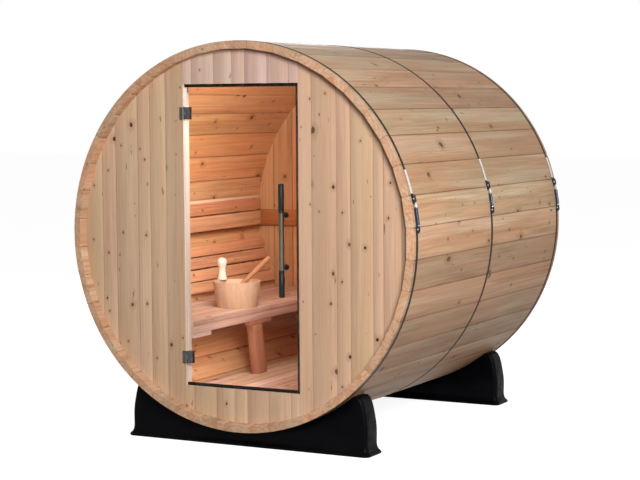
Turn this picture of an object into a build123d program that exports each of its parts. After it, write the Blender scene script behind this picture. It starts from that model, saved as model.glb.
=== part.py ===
"""Barrel sauna: a staved barrel cabin with a glass door, standing on two moulded cradles.

Frame: millimetres, +Z up, the front wall faces -Y and the barrel's axis runs along Y.
The origin is on the ground, under the middle of the barrel.
"""
import math
import os

from build123d import *

# ---------------------------------------------------------------- driving dimensions (mm)
# barrel
BARREL_DIA = 1829.0  # over the rounded backs of the staves
STAVE_LENGTH = 1829.0
STAVE_THICKNESS = 38.0
STAVE_COUNT = 40
STAVES_PER_PANEL = 4
STAVE_JOINT = 0.4  # open joint between two neighbouring staves
GROUND_GAP = 76.0  # ground to the underside of the barrel

# end walls
FRONT_RECESS = 50.0  # stave ends to the outer face of the front wall
BACK_RECESS = 50.0
WALL_THICKNESS = 38.0

# doorway
DOORWAY_WIDTH = 620.0
OVER_DOOR = 159.5  # wall above the doorway, up to the staves
UNDER_DOOR = 157.5  # wall below the doorway, down to the staves
FRAME_POST_WIDTH = 60.0
FRAME_POST_DEPTH = 16.0
SEAL_WIDTH = 15.0
SEAL_DEPTH = 8.0
SEAL_GAP = 5.5  # glass to the seal behind it

# glass door
GLASS_THICKNESS = 8.0
GLASS_SIDE_GAP = 6.0
GLASS_HINGE_GAP = 7.0
GLASS_END_GAP = 6.0

# hinges
HINGE_HEIGHT = 58.0
HINGE_INSETS = (138.0, 137.0)  # doorway sill to the lower hinge, and doorway top to the upper one
HINGE_PIN_OUT = 3.0  # pin centre outside the glass edge
HINGE_PIN_PROUD = 7.0  # pin centre in front of the wall face
KNUCKLE_RADIUS = 6.0
KNUCKLE_GAP = 0.6
PIN_RADIUS = 2.5
PIN_CLEARANCE = 0.2
WALL_LEAF_WIDTH = 16.0
CLAMP_WIDTH = 33.0
CLAMP_THICKNESS = 6.0
CLAMP_STEP = 4.0  # the inner plate is this much narrower
CLAMP_TONGUE = 12.0  # glass edge to the end of the knuckle's tongue
KNUCKLE_CLEARANCE = 1.0

# handle
HANDLE_INSET = 66.0  # glass edge to the bar's centre line
HANDLE_TOP = 256.0
HANDLE_BOTTOM = -269.0
HANDLE_RADIUS = 12.5
HANDLE_SLEEVE_RADIUS = 13.5
HANDLE_STANDOFF = 35.0  # glass face to the bar's centre line
HANDLE_MOUNTS = (-143.0, 122.0)
STANDOFF_RADIUS = 8.0
STANDOFF_INSET = 12.0  # standoff centre from the end of the steel tube
WASHER_RADIUS = 14.0
WASHER_THICKNESS = 5.0

# steel bands and their tensioners
BAND_WIDTH = 18.0
BAND_THICKNESS = 1.6
BAND_INSET = 35.0  # stave ends to the centre of the end bands
BAND_MIDDLE_SHIFT = -14.5  # the middle band, from the middle of the staves
# lower and upper bracket of the front, middle and rear tensioners, degrees above the horizontal
BRACKET_SPANS = (((2.6, 5.4), (11.0, 14.0)), ((5.0, 7.8), (12.4, 15.4)), ((2.6, 5.4), (11.0, 14.0)))
BRACKET_WIDTH = 20.0
BRACKET_HEIGHT = 15.0
ROD_RADIUS = 4.5
ROD_HEIGHT = 8.5
NUT_RADIUS = 8.0
NUT_LENGTH = 16.0
NUT_SETBACK = 38.0

# cradles
# foot: height above the ground, and how far it stands out beyond the body
CRADLE_FOOT = ((0.0, 12.0), (3.0, 15.0), (8.0, 16.0), (13.0, 13.0), (20.0, 6.0), (27.0, 2.0), (34.0, 0.0))
# body ends: share of the height from the foot to the horn tops, and the inward curve there
CRADLE_SIDE = ((0.0, 0.0), (0.32, 2.0), (0.62, 10.0), (0.83, 21.0), (0.945, 33.0), (1.0, 46.0))
CRADLE_BODY_DEPTH = 130.0
CRADLE_TOP_DEPTH = 112.0
CRADLE_HORN = 28.0  # thickness of a horn at its top
CRADLE_RISE = 196.5  # underside of the barrel to the horn tops
CRADLE_INSET = 73.0  # stave ends to the near side of the body
CRADLE_CORNER = 20.0  # rounded corners of the body at the foot
CRADLE_CORNER_TOP = 15.0

# floor
FLOOR_RISE = 116.5  # lowest stave to the top of the floor
FLOOR_THICKNESS = 28.0
JOIST_WIDTH = 45.0
JOIST_INSET = 300.0  # stave ends to the centre of the end joists

# bench
BENCH_DEPTH = 475.1  # staves to the bench's front edge, at the seat
SEAT_DROP = 17.1  # lowest backrest slat to the seat
SEAT_THICKNESS = 28.0
SEAT_BOARDS = 4
SEAT_GAP = 10.0
APRON_HEIGHT = 35.0
APRON_THICKNESS = 38.0
END_CLEAT_LENGTH = 166.0
END_CLEAT_DROP = 22.0
LEG_DEPTH = 92.0
LEG_THICKNESS = 42.0
LEG_TOP_Y = 722.0  # leg centre at the seat, from the front stave ends
LEG_LEAN = 48.0  # the foot stands this much further back
BEARER_Y = (650.0, 862.0)
BEARER_HEIGHT = 22.0
WALL_BEARER_SIZE = 40.0

# backrests
BACK_RIB_THICKNESS = 22.0
BACK_RIB_WIDTH = 40.0
BACK_RIB_INSET = 330.0  # stave ends to the centre of the ribs
SLAT_FLATS = (1, 2, 3)  # staves below the horizontal that carry slats
SLAT_THICKNESS = 18.0
SLAT_WIDTH = 60.0
SLAT_FRONT_GAP = 8.0  # front wall to the slats
SLAT_BACK_GAP = 41.0  # back wall to the slats
UPPER_BACK_RISE = 6.8  # stave joint above the highest slat to the upper boards
UPPER_BACK_BOARD = 80.0
UPPER_BACK_REACH = 58.5  # staves to the face towards the room
UPPER_BACK_THICKNESS = 22.0
UPPER_BACK_GAP = 7.0
UPPER_BACK_STOP = 81.0  # back wall to the boards' end
RAIL_TOP = 20.0
RAIL_HEIGHT = 90.0
RAIL_THICKNESS = 20.0

# bucket and ladle
BUCKET_SETBACK = 118.0  # bench front edge to the bucket's middle
BUCKET_Y = 714.0  # from the front stave ends
BUCKET_HEIGHT = 132.0
BUCKET_TOP_RADIUS = 125.0
BUCKET_FOOT_RADIUS = 107.0
BUCKET_WALL = 12.0
BUCKET_FLOOR = 14.0
BUCKET_STAVES = 16
GRIP_FOOT_RADIUS = 25.0
GRIP_FOOT_HEIGHT = 36.0
GRIP_NECK_RADIUS = 18.0
GRIP_KNOB_RADIUS = 25.0
GRIP_KNOB_CENTRE = 90.0
GRIP_AZIMUTH = 164.0
GRIP_INSET = 15.0  # bucket corner to the grip's centre
LADLE_RADIUS = 8.0
LADLE_LEAN = (0.5, 1.4)  # x and y run of the stick for each unit of height
LADLE_REST_X = 2.0  # where the stick crosses the rim, from the bucket's middle
LADLE_REST_GAP = 0.1
LADLE_RISE = 101.0  # stick end above the rim
LADLE_HEAD_RADIUS = 24.0
LADLE_HEAD_HEIGHT = 36.0
LADLE_HEAD_ROUND = 5.0

# ---------------------------------------------------------------- derived values
AXIS_Z = GROUND_GAP + BARREL_DIA / 2
OUTER = BARREL_DIA / 2
INNER = OUTER - STAVE_THICKNESS
FRONT_Y = -STAVE_LENGTH / 2
STAVE_STEP = 360.0 / STAVE_COUNT
HALF_STEP = math.radians(STAVE_STEP / 2)
WALL_FRONT = FRONT_RECESS
WALL_BACK = FRONT_RECESS + WALL_THICKNESS
BACK_OUTER = STAVE_LENGTH - BACK_RECESS
BACK_INNER = BACK_OUTER - WALL_THICKNESS
DOORWAY_TOP = INNER - OVER_DOOR  # heights are from the barrel's axis
DOORWAY_BOTTOM = UNDER_DOOR - INNER
GLASS_BACK = WALL_FRONT + GLASS_THICKNESS
GLASS_LEFT = -DOORWAY_WIDTH / 2 + GLASS_HINGE_GAP
GLASS_RIGHT = DOORWAY_WIDTH / 2 - GLASS_SIDE_GAP
GLASS_TOP = DOORWAY_TOP - GLASS_END_GAP
GLASS_BOTTOM = DOORWAY_BOTTOM + GLASS_END_GAP
PIN_Y = WALL_FRONT - HINGE_PIN_PROUD
HINGE_PIN_X = GLASS_LEFT - HINGE_PIN_OUT
HINGE_LEVELS = (DOORWAY_BOTTOM + HINGE_INSETS[0], DOORWAY_TOP - HINGE_INSETS[1])
HANDLE_X = GLASS_RIGHT - HANDLE_INSET
BAND_CENTRES = (BAND_INSET, STAVE_LENGTH / 2 + BAND_MIDDLE_SHIFT, STAVE_LENGTH - BAND_INSET)
CRADLE_TOP = CRADLE_RISE - OUTER
CRADLE_TOP_HALF = math.sqrt(OUTER**2 - CRADLE_TOP**2) + CRADLE_HORN
CRADLE_BODY_HALF = CRADLE_TOP_HALF + CRADLE_SIDE[-1][1]
FLOOR_TOP = FLOOR_RISE - INNER
JOIST_CENTRES = (JOIST_INSET, STAVE_LENGTH / 2, STAVE_LENGTH - JOIST_INSET)
SEAT_TOP = -INNER * math.sin(math.radians(SLAT_FLATS[2] * STAVE_STEP)) - SEAT_DROP
WALL_X = -math.sqrt((INNER / math.cos(HALF_STEP)) ** 2 - SEAT_TOP**2)
BENCH_FRONT_X = WALL_X + BENCH_DEPTH
BACK_RIB_CENTRES = (BACK_RIB_INSET, STAVE_LENGTH - BACK_RIB_INSET)
SLAT_ENDS = (WALL_BACK + SLAT_FRONT_GAP, BACK_INNER - SLAT_BACK_GAP)
UPPER_BACK_BOTTOM = UPPER_BACK_RISE - INNER * math.sin(HALF_STEP)
UPPER_BACK_TOP = UPPER_BACK_BOTTOM + 2 * UPPER_BACK_BOARD + UPPER_BACK_GAP
UPPER_BACK_X = UPPER_BACK_REACH - INNER
UPPER_BACK_END = BACK_INNER - UPPER_BACK_STOP

os.makedirs("parts", exist_ok=True)


def across(inset):
    """Plane across the barrel, facing the front, at a distance from the front stave ends."""
    return Plane(origin=(0, FRONT_Y + inset, AXIS_Z), x_dir=(1, 0, 0), z_dir=(0, -1, 0))


def level(height):
    """Horizontal plane at a height from the barrel's axis, measured from the front stave ends."""
    return Plane(origin=(0, FRONT_Y, AXIS_Z + height), x_dir=(1, 0, 0), z_dir=(0, 0, 1))


def on_flat(angle, near, far, low, high):
    """Corners of a block that lies on the stave flat facing `angle` degrees.

    near and far are distances from the axis, low and high run along the flat.
    """
    a = math.radians(angle)
    n = (math.cos(a), math.sin(a))
    t = (-math.sin(a), math.cos(a))
    pairs = ((near, low), (far, low), (far, high), (near, high))
    return [(r * n[0] + s * t[0], r * n[1] + s * t[1]) for r, s in pairs]


def stave_outline(angle):
    """Five points of one stave's section: flat face, edges that point at the axis, rounded back."""
    a = math.radians(angle)
    n = (math.cos(a), math.sin(a))
    t = (-math.sin(a), math.cos(a))
    half_in = INNER * math.tan(HALF_STEP) - STAVE_JOINT / 2
    half_out = OUTER * math.sin(HALF_STEP) - STAVE_JOINT / 2
    reach = math.sqrt(OUTER**2 - half_out**2)
    pairs = ((INNER, -half_in), (reach, -half_out), (OUTER, 0), (reach, half_out), (INNER, half_in))
    return [(r * n[0] + s * t[0], r * n[1] + s * t[1]) for r, s in pairs]


def many_sided(apothem):
    """Corners of the barrel's regular section at a distance from the axis."""
    radius = apothem / math.cos(HALF_STEP)
    turns = [math.radians(STAVE_STEP * (k + 0.5)) for k in range(STAVE_COUNT)]
    return [(radius * math.cos(a), radius * math.sin(a)) for a in turns]


def keep(part, name):
    """Label a finished piece and write it."""
    part.part.label = name
    export_step(part.part, f"parts/{name}.step")


# ---------------------------------------------------------------- barrel staves
panel_count = STAVE_COUNT // STAVES_PER_PANEL
for panel in range(panel_count):
    with BuildPart() as staves:
        for k in range(STAVES_PER_PANEL):
            turn = 90 + STAVE_STEP * (panel * STAVES_PER_PANEL + k)
            with BuildSketch(across(STAVE_LENGTH)):
                with BuildLine():
                    points = stave_outline(turn)
                    ThreePointArc(points[1], points[2], points[3])
                    Polyline(points[3], points[4], points[0], points[1])
                make_face()
        extrude(amount=STAVE_LENGTH)
    keep(staves, f"barrel_staves_{panel + 1:02d}")

# ---------------------------------------------------------------- front wall
for side, name in ((-1, "front_wall_left"), (1, "front_wall_right")):
    with BuildPart() as wall_side:
        with BuildSketch(across(WALL_BACK)):
            with BuildLine():
                Polyline(*many_sided(INNER), close=True)
            make_face()
            strip = DOORWAY_WIDTH / 2 + OUTER
            with Locations((-side * (OUTER - DOORWAY_WIDTH / 2) / 2, 0)):
                Rectangle(strip, 2 * OUTER, mode=Mode.SUBTRACT)
        extrude(amount=WALL_THICKNESS)
    keep(wall_side, name)

for low, high, name in (
    (DOORWAY_TOP, OUTER, "front_wall_over_door"),
    (-OUTER, DOORWAY_BOTTOM, "front_wall_under_door"),
):
    with BuildPart() as wall_piece:
        with BuildSketch(across(WALL_BACK)):
            with BuildLine():
                Polyline(*many_sided(INNER), close=True)
            make_face()
            with Locations((0, (low + high) / 2)):
                Rectangle(DOORWAY_WIDTH, high - low, mode=Mode.INTERSECT)
        extrude(amount=WALL_THICKNESS)
    keep(wall_piece, name)

# ---------------------------------------------------------------- door frame behind the wall
frame_low = DOORWAY_BOTTOM - FRAME_POST_WIDTH
frame_high = DOORWAY_TOP + FRAME_POST_WIDTH
for side, name in ((-1, "door_post_left"), (1, "door_post_right")):
    with BuildPart() as post:
        with BuildSketch(across(WALL_BACK + FRAME_POST_DEPTH)):
            with Locations((side * (DOORWAY_WIDTH + FRAME_POST_WIDTH) / 2, (DOORWAY_TOP + FLOOR_TOP) / 2)):
                Rectangle(FRAME_POST_WIDTH, DOORWAY_TOP - FLOOR_TOP)
        extrude(amount=FRAME_POST_DEPTH)
    keep(post, name)

with BuildPart() as head:
    with BuildSketch(across(WALL_BACK + FRAME_POST_DEPTH)):
        with Locations((0, DOORWAY_TOP + FRAME_POST_WIDTH / 2)):
            Rectangle(DOORWAY_WIDTH + 2 * FRAME_POST_WIDTH, FRAME_POST_WIDTH)
    extrude(amount=FRAME_POST_DEPTH)
keep(head, "door_head")

with BuildPart() as sill:
    with BuildSketch(across(WALL_BACK + FRAME_POST_DEPTH)):
        with Locations((0, (DOORWAY_BOTTOM + FLOOR_TOP) / 2)):
            Rectangle(DOORWAY_WIDTH, DOORWAY_BOTTOM - FLOOR_TOP)
    extrude(amount=FRAME_POST_DEPTH)
keep(sill, "door_sill")

# black seal on three sides of the doorway, just behind the glass
with BuildPart() as seal:
    with BuildSketch(across(GLASS_BACK + SEAL_GAP + SEAL_DEPTH)):
        with Locations((0, (DOORWAY_TOP + DOORWAY_BOTTOM) / 2)):
            Rectangle(DOORWAY_WIDTH, DOORWAY_TOP - DOORWAY_BOTTOM)
        with Locations((-SEAL_WIDTH / 2, (DOORWAY_TOP + DOORWAY_BOTTOM) / 2)):
            Rectangle(
                DOORWAY_WIDTH - SEAL_WIDTH,
                DOORWAY_TOP - DOORWAY_BOTTOM - 2 * SEAL_WIDTH,
                mode=Mode.SUBTRACT,
            )
    extrude(amount=SEAL_DEPTH)
keep(seal, "door_seal")

# ---------------------------------------------------------------- back wall
with BuildPart() as back_wall:
    with BuildSketch(across(BACK_OUTER)):
        with BuildLine():
            Polyline(*many_sided(INNER), close=True)
        make_face()
    extrude(amount=WALL_THICKNESS)
keep(back_wall, "back_wall")

with BuildPart() as back_rail:
    with BuildSketch(across(BACK_INNER)):
        with BuildLine():
            Polyline(*many_sided(INNER), close=True)
        make_face()
        with Locations((0, RAIL_TOP - RAIL_HEIGHT / 2)):
            Rectangle(2 * OUTER, RAIL_HEIGHT, mode=Mode.INTERSECT)
    extrude(amount=RAIL_THICKNESS)
keep(back_rail, "back_wall_rail")

# ---------------------------------------------------------------- floor and its joists
with BuildPart() as floor:
    with BuildSketch(across(BACK_INNER)):
        with BuildLine():
            Polyline(*many_sided(INNER), close=True)
        make_face()
        with Locations((0, FLOOR_TOP - FLOOR_THICKNESS / 2)):
            Rectangle(2 * OUTER, FLOOR_THICKNESS, mode=Mode.INTERSECT)
    extrude(amount=BACK_INNER - WALL_BACK)
keep(floor, "floor")

joist_top = FLOOR_TOP - FLOOR_THICKNESS
with BuildPart() as joists:
    for at in JOIST_CENTRES:
        with BuildSketch(across(at + JOIST_WIDTH / 2)):
            with BuildLine():
                Polyline(*many_sided(INNER), close=True)
            make_face()
            with Locations((0, joist_top - OUTER / 2)):
                Rectangle(2 * OUTER, OUTER, mode=Mode.INTERSECT)
        extrude(amount=JOIST_WIDTH)
keep(joists, "floor_joists")

# ---------------------------------------------------------------- bench
seat_y0 = WALL_BACK + FRAME_POST_DEPTH
seat_y1 = BACK_INNER
seat_run = seat_y1 - seat_y0
board_width = (BENCH_DEPTH + SEAT_GAP) / SEAT_BOARDS - SEAT_GAP
with BuildPart() as seat:
    with BuildSketch(across(seat_y1)):
        for k in range(SEAT_BOARDS):
            right = BENCH_FRONT_X - k * (board_width + SEAT_GAP)
            with Locations((right - board_width / 2, SEAT_TOP - SEAT_THICKNESS / 2)):
                Rectangle(board_width, SEAT_THICKNESS)
        with BuildLine():
            Polyline(*many_sided(INNER), close=True)
        make_face(mode=Mode.INTERSECT)
    extrude(amount=seat_run)
keep(seat, "bench_seat_boards")

seat_under = SEAT_TOP - SEAT_THICKNESS
apron_low = seat_under - APRON_HEIGHT
with BuildPart() as apron:
    with BuildSketch(across(seat_y1)):
        with Locations((BENCH_FRONT_X - APRON_THICKNESS / 2, seat_under - APRON_HEIGHT / 2)):
            Rectangle(APRON_THICKNESS, APRON_HEIGHT)
    extrude(amount=seat_run)
keep(apron, "bench_apron")

# cleats under the two ends of the apron, against the end walls
with BuildPart() as cleats:
    for y0 in (seat_y0, seat_y1 - END_CLEAT_LENGTH):
        with BuildSketch(across(y0 + END_CLEAT_LENGTH)):
            with Locations((BENCH_FRONT_X - APRON_THICKNESS / 2, apron_low - END_CLEAT_DROP / 2)):
                Rectangle(APRON_THICKNESS, END_CLEAT_DROP)
        extrude(amount=END_CLEAT_LENGTH)
keep(cleats, "bench_end_cleats")

with BuildPart() as bearer:
    with BuildSketch(across(BEARER_Y[1])):
        with Locations((BENCH_FRONT_X - APRON_THICKNESS / 2, apron_low - BEARER_HEIGHT / 2)):
            Rectangle(APRON_THICKNESS, BEARER_HEIGHT)
    extrude(amount=BEARER_Y[1] - BEARER_Y[0])
keep(bearer, "bench_leg_bearer")

# one leaning leg under the middle of the apron
leg_high = apron_low - BEARER_HEIGHT
leg_x = BENCH_FRONT_X - LEG_THICKNESS / 2
with BuildPart() as leg:
    with BuildSketch(Plane(origin=(leg_x, FRONT_Y, AXIS_Z), x_dir=(0, 1, 0), z_dir=(1, 0, 0))):
        with BuildLine():
            Polyline(
                (LEG_TOP_Y - LEG_DEPTH / 2, leg_high),
                (LEG_TOP_Y + LEG_DEPTH / 2, leg_high),
                (LEG_TOP_Y + LEG_DEPTH / 2 + LEG_LEAN, FLOOR_TOP),
                (LEG_TOP_Y - LEG_DEPTH / 2 + LEG_LEAN, FLOOR_TOP),
                close=True,
            )
        make_face()
    extrude(amount=LEG_THICKNESS / 2, both=True)
keep(leg, "bench_leg")

# bearer along the staves that carries the back of the seat
with BuildPart() as wall_bearer:
    with BuildSketch(across(seat_y1)):
        with BuildLine():
            Polyline(*many_sided(INNER), close=True)
        make_face()
        with Locations((WALL_X + WALL_BEARER_SIZE, seat_under - WALL_BEARER_SIZE / 2)):
            Rectangle(2 * WALL_BEARER_SIZE, WALL_BEARER_SIZE, mode=Mode.INTERSECT)
    extrude(amount=seat_run)
keep(wall_bearer, "bench_wall_bearer")

# ---------------------------------------------------------------- lower backrest
rib_near = INNER - BACK_RIB_THICKNESS
slat_turns = [180 + STAVE_STEP * k for k in SLAT_FLATS]
rib_flats = ((slat_turns[0], -0.5, 1.0), (slat_turns[1], -1.0, 1.0), (slat_turns[2], -1.0, 0.0))
with BuildPart() as ribs:
    for at in BACK_RIB_CENTRES:
        with BuildSketch(across(at + BACK_RIB_WIDTH / 2)):
            for flat, low, high in rib_flats:
                half_near = rib_near * math.tan(HALF_STEP)
                half_far = INNER * math.tan(HALF_STEP)
                a = math.radians(flat)
                n = (math.cos(a), math.sin(a))
                t = (-math.sin(a), math.cos(a))
                pairs = (
                    (rib_near, low * half_near),
                    (INNER, low * half_far),
                    (INNER, high * half_far),
                    (rib_near, high * half_near),
                )
                with BuildLine():
                    Polyline(*[(r * n[0] + s * t[0], r * n[1] + s * t[1]) for r, s in pairs], close=True)
                make_face()
        extrude(amount=BACK_RIB_WIDTH)
        with BuildSketch(across(at + BACK_RIB_WIDTH / 2)):
            with BuildLine():
                Polyline(*many_sided(INNER), close=True)
            make_face()
            with Locations((UPPER_BACK_X - UPPER_BACK_THICKNESS - OUTER / 2, (UPPER_BACK_TOP + UPPER_BACK_BOTTOM) / 2)):
                Rectangle(OUTER, UPPER_BACK_TOP - UPPER_BACK_BOTTOM, mode=Mode.INTERSECT)
        extrude(amount=BACK_RIB_WIDTH)
keep(ribs, "backrest_ribs")

flat_half = rib_near * math.tan(HALF_STEP)
slat_pitch = flat_half / 2
slat_half = SLAT_WIDTH / 2
slats = (
    (slat_turns[0], slat_pitch),
    (slat_turns[1], -slat_pitch),
    (slat_turns[1], slat_pitch),
    (slat_turns[2], -slat_pitch),
)
with BuildPart() as lower_back:
    for flat, centre in slats:
        with BuildSketch(across(SLAT_ENDS[1])):
            with BuildLine():
                Polyline(
                    *on_flat(flat, rib_near - SLAT_THICKNESS, rib_near, centre - slat_half, centre + slat_half),
                    close=True,
                )
            make_face()
        extrude(amount=SLAT_ENDS[1] - SLAT_ENDS[0])
keep(lower_back, "lower_backrest_slats")

# ---------------------------------------------------------------- upper backrest
with BuildPart() as upper_back:
    for k in range(2):
        mid = UPPER_BACK_BOTTOM + UPPER_BACK_BOARD / 2 + k * (UPPER_BACK_BOARD + UPPER_BACK_GAP)
        with BuildSketch(across(UPPER_BACK_END)):
            with Locations((UPPER_BACK_X - UPPER_BACK_THICKNESS / 2, mid)):
                Rectangle(UPPER_BACK_THICKNESS, UPPER_BACK_BOARD)
        extrude(amount=UPPER_BACK_END - WALL_BACK)
keep(upper_back, "upper_backrest_boards")

# ---------------------------------------------------------------- bucket, its grip and the ladle
bucket_x = BENCH_FRONT_X - BUCKET_SETBACK
bucket_y = FRONT_Y + BUCKET_Y
bucket_z = AXIS_Z + SEAT_TOP
bucket_plane = Plane(origin=(bucket_x, bucket_y, bucket_z))
with BuildPart() as bucket:
    with BuildSketch(bucket_plane):
        RegularPolygon(BUCKET_FOOT_RADIUS, BUCKET_STAVES, rotation=180 / BUCKET_STAVES)
    with BuildSketch(bucket_plane.offset(BUCKET_HEIGHT)):
        RegularPolygon(BUCKET_TOP_RADIUS, BUCKET_STAVES, rotation=180 / BUCKET_STAVES)
    loft()
    inner_foot = BUCKET_FOOT_RADIUS - BUCKET_WALL
    inner_top = BUCKET_TOP_RADIUS - BUCKET_WALL
    with BuildSketch(bucket_plane.offset(BUCKET_FLOOR)):
        RegularPolygon(inner_foot, BUCKET_STAVES, rotation=180 / BUCKET_STAVES)
    with BuildSketch(bucket_plane.offset(BUCKET_HEIGHT)):
        RegularPolygon(inner_top, BUCKET_STAVES, rotation=180 / BUCKET_STAVES)
    loft(mode=Mode.SUBTRACT)
keep(bucket, "bucket")

grip_turn = math.radians(GRIP_AZIMUTH)
grip_reach = BUCKET_TOP_RADIUS - GRIP_INSET
grip_x = bucket_x + grip_reach * math.cos(grip_turn)
grip_y = bucket_y + grip_reach * math.sin(grip_turn)
grip_plane = Plane(origin=(grip_x, grip_y, bucket_z + BUCKET_HEIGHT))
on_base = (Align.CENTER, Align.CENTER, Align.MIN)
with BuildPart() as grip:
    with Locations(grip_plane):
        Cone(GRIP_FOOT_RADIUS, GRIP_NECK_RADIUS, GRIP_FOOT_HEIGHT, align=on_base)
    with Locations(grip_plane.offset(GRIP_FOOT_HEIGHT)):
        Cylinder(GRIP_NECK_RADIUS, GRIP_KNOB_CENTRE - GRIP_FOOT_HEIGHT, align=on_base)
    with Locations(grip_plane.offset(GRIP_KNOB_CENTRE)):
        Sphere(GRIP_KNOB_RADIUS)
keep(grip, "bucket_grip")

flat_turn = math.pi / BUCKET_STAVES
rim_flat = inner_top * math.cos(flat_turn)
stick_slope = math.sqrt(1 + LADLE_LEAN[1] ** 2)
rest_y = rim_flat - (LADLE_RADIUS + LADLE_REST_GAP) * stick_slope
sunk = BUCKET_HEIGHT - BUCKET_FLOOR - LADLE_HEAD_HEIGHT / 2
head_x = bucket_x + LADLE_REST_X - LADLE_LEAN[0] * sunk
head_y = bucket_y + rest_y - LADLE_LEAN[1] * sunk
stick_dir = Vector(LADLE_LEAN[0], LADLE_LEAN[1], 1)
with BuildPart() as ladle:
    with BuildSketch(Plane(origin=(head_x, head_y, bucket_z + BUCKET_FLOOR))):
        Circle(LADLE_HEAD_RADIUS)
    extrude(amount=LADLE_HEAD_HEIGHT)
    fillet(edges().filter_by(GeomType.CIRCLE), radius=LADLE_HEAD_ROUND)
    stick_start = Vector(head_x, head_y, bucket_z + BUCKET_FLOOR + LADLE_HEAD_HEIGHT / 2)
    with BuildSketch(Plane(origin=stick_start, x_dir=(1, 0, -LADLE_LEAN[0]), z_dir=stick_dir)):
        Circle(LADLE_RADIUS)
    extrude(amount=(sunk + LADLE_RISE) * stick_dir.length)
keep(ladle, "ladle")

# ---------------------------------------------------------------- steel bands
band_outer = OUTER + BAND_THICKNESS
with BuildPart() as bands:
    for inset, spans in zip(BAND_CENTRES, BRACKET_SPANS):
        gap_low, gap_high = [OUTER * math.sin(math.radians((low + high) / 2)) for low, high in spans]
        with BuildSketch(across(inset + BAND_WIDTH / 2)):
            Circle(band_outer)
            Circle(OUTER, mode=Mode.SUBTRACT)
            with Locations((0, (gap_low + gap_high) / 2)):
                Rectangle(3 * OUTER, gap_high - gap_low, mode=Mode.SUBTRACT)
        extrude(amount=BAND_WIDTH)
keep(bands, "steel_bands")

# one tensioner on each side of every band: two brackets joined by a threaded rod with a nut
with BuildPart() as tensioners:
    for inset, spans in zip(BAND_CENTRES, BRACKET_SPANS):
        for side in (1, -1):
            ends = []
            for low, high in spans:
                mid = (low + high) / 2
                half = band_outer * math.radians(high - low) / 2
                corners = on_flat(mid, OUTER, band_outer + BRACKET_HEIGHT, -half, half)
                with BuildSketch(across(inset + BRACKET_WIDTH / 2)):
                    with BuildLine():
                        Polyline(*[(side * x, z) for x, z in corners], close=True)
                    make_face()
                    Circle(band_outer, mode=Mode.SUBTRACT)
                extrude(amount=BRACKET_WIDTH)
                reach = band_outer + ROD_HEIGHT
                turn = math.radians(mid)
                ends.append(Vector(side * reach * math.cos(turn), FRONT_Y + inset, AXIS_Z + reach * math.sin(turn)))
            run = ends[1] - ends[0]
            rod_plane = Plane(origin=ends[0], x_dir=(0, 1, 0), z_dir=run)
            with BuildSketch(rod_plane):
                Circle(ROD_RADIUS)
            extrude(amount=run.length)
            with BuildSketch(rod_plane.offset(run.length - NUT_SETBACK)):
                RegularPolygon(NUT_RADIUS, 6)
            extrude(amount=NUT_LENGTH)
keep(tensioners, "band_tensioners")

# ---------------------------------------------------------------- cradles
foot_height = CRADLE_FOOT[-1][0]
body_height = AXIS_Z + CRADLE_TOP - foot_height
for far_end, name in ((False, "cradle_front"), (True, "cradle_rear")):
    centre = CRADLE_INSET + CRADLE_BODY_DEPTH / 2
    if far_end:
        centre = STAVE_LENGTH - centre
    centre_y = FRONT_Y + centre
    with BuildPart() as cradle:
        for height, beyond in CRADLE_FOOT:
            with BuildSketch(Plane(origin=(0, centre_y, height))):
                Rectangle(2 * (CRADLE_BODY_HALF + beyond), CRADLE_BODY_DEPTH + 2 * beyond)
                fillet(vertices(), radius=CRADLE_CORNER + beyond / 2)
        loft(ruled=True)
        for share, inward in CRADLE_SIDE:
            depth = CRADLE_BODY_DEPTH + share * (CRADLE_TOP_DEPTH - CRADLE_BODY_DEPTH)
            corner = CRADLE_CORNER + share * (CRADLE_CORNER_TOP - CRADLE_CORNER)
            with BuildSketch(Plane(origin=(0, centre_y, foot_height + share * body_height))):
                Rectangle(2 * (CRADLE_BODY_HALF - inward), depth)
                fillet(vertices(), radius=corner)
        loft()
        with BuildSketch(across(STAVE_LENGTH)):
            Circle(OUTER)
        extrude(amount=STAVE_LENGTH, mode=Mode.SUBTRACT)
    keep(cradle, name)

# ---------------------------------------------------------------- hinges: fixed leaves
knuckle = HINGE_HEIGHT / 3
with BuildPart() as wall_leaves:
    for mid in HINGE_LEVELS:
        leaf_right = HINGE_PIN_X - KNUCKLE_RADIUS / 2
        with BuildSketch(across(WALL_FRONT)):
            with Locations((leaf_right - WALL_LEAF_WIDTH / 2, mid)):
                Rectangle(WALL_LEAF_WIDTH, HINGE_HEIGHT)
        extrude(amount=HINGE_PIN_PROUD - KNUCKLE_CLEARANCE)
        with BuildSketch(across(WALL_FRONT)):
            with Locations((HINGE_PIN_X, mid)):
                Rectangle(2 * (KNUCKLE_RADIUS + 2 * KNUCKLE_CLEARANCE), knuckle + 2 * KNUCKLE_GAP)
        extrude(amount=2 * HINGE_PIN_PROUD, mode=Mode.SUBTRACT)
        for end in (-1, 1):
            low = mid + end * HINGE_HEIGHT / 2 - (knuckle if end > 0 else 0)
            low = low + (KNUCKLE_GAP if end > 0 else 0)
            with BuildSketch(level(low)):
                with Locations((HINGE_PIN_X, PIN_Y)):
                    Circle(KNUCKLE_RADIUS)
            extrude(amount=knuckle - KNUCKLE_GAP)
        with BuildSketch(level(mid - HINGE_HEIGHT / 2)):
            with Locations((HINGE_PIN_X, PIN_Y)):
                Circle(PIN_RADIUS)
        extrude(amount=HINGE_HEIGHT)
keep(wall_leaves, "hinge_wall_leaves")

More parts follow.
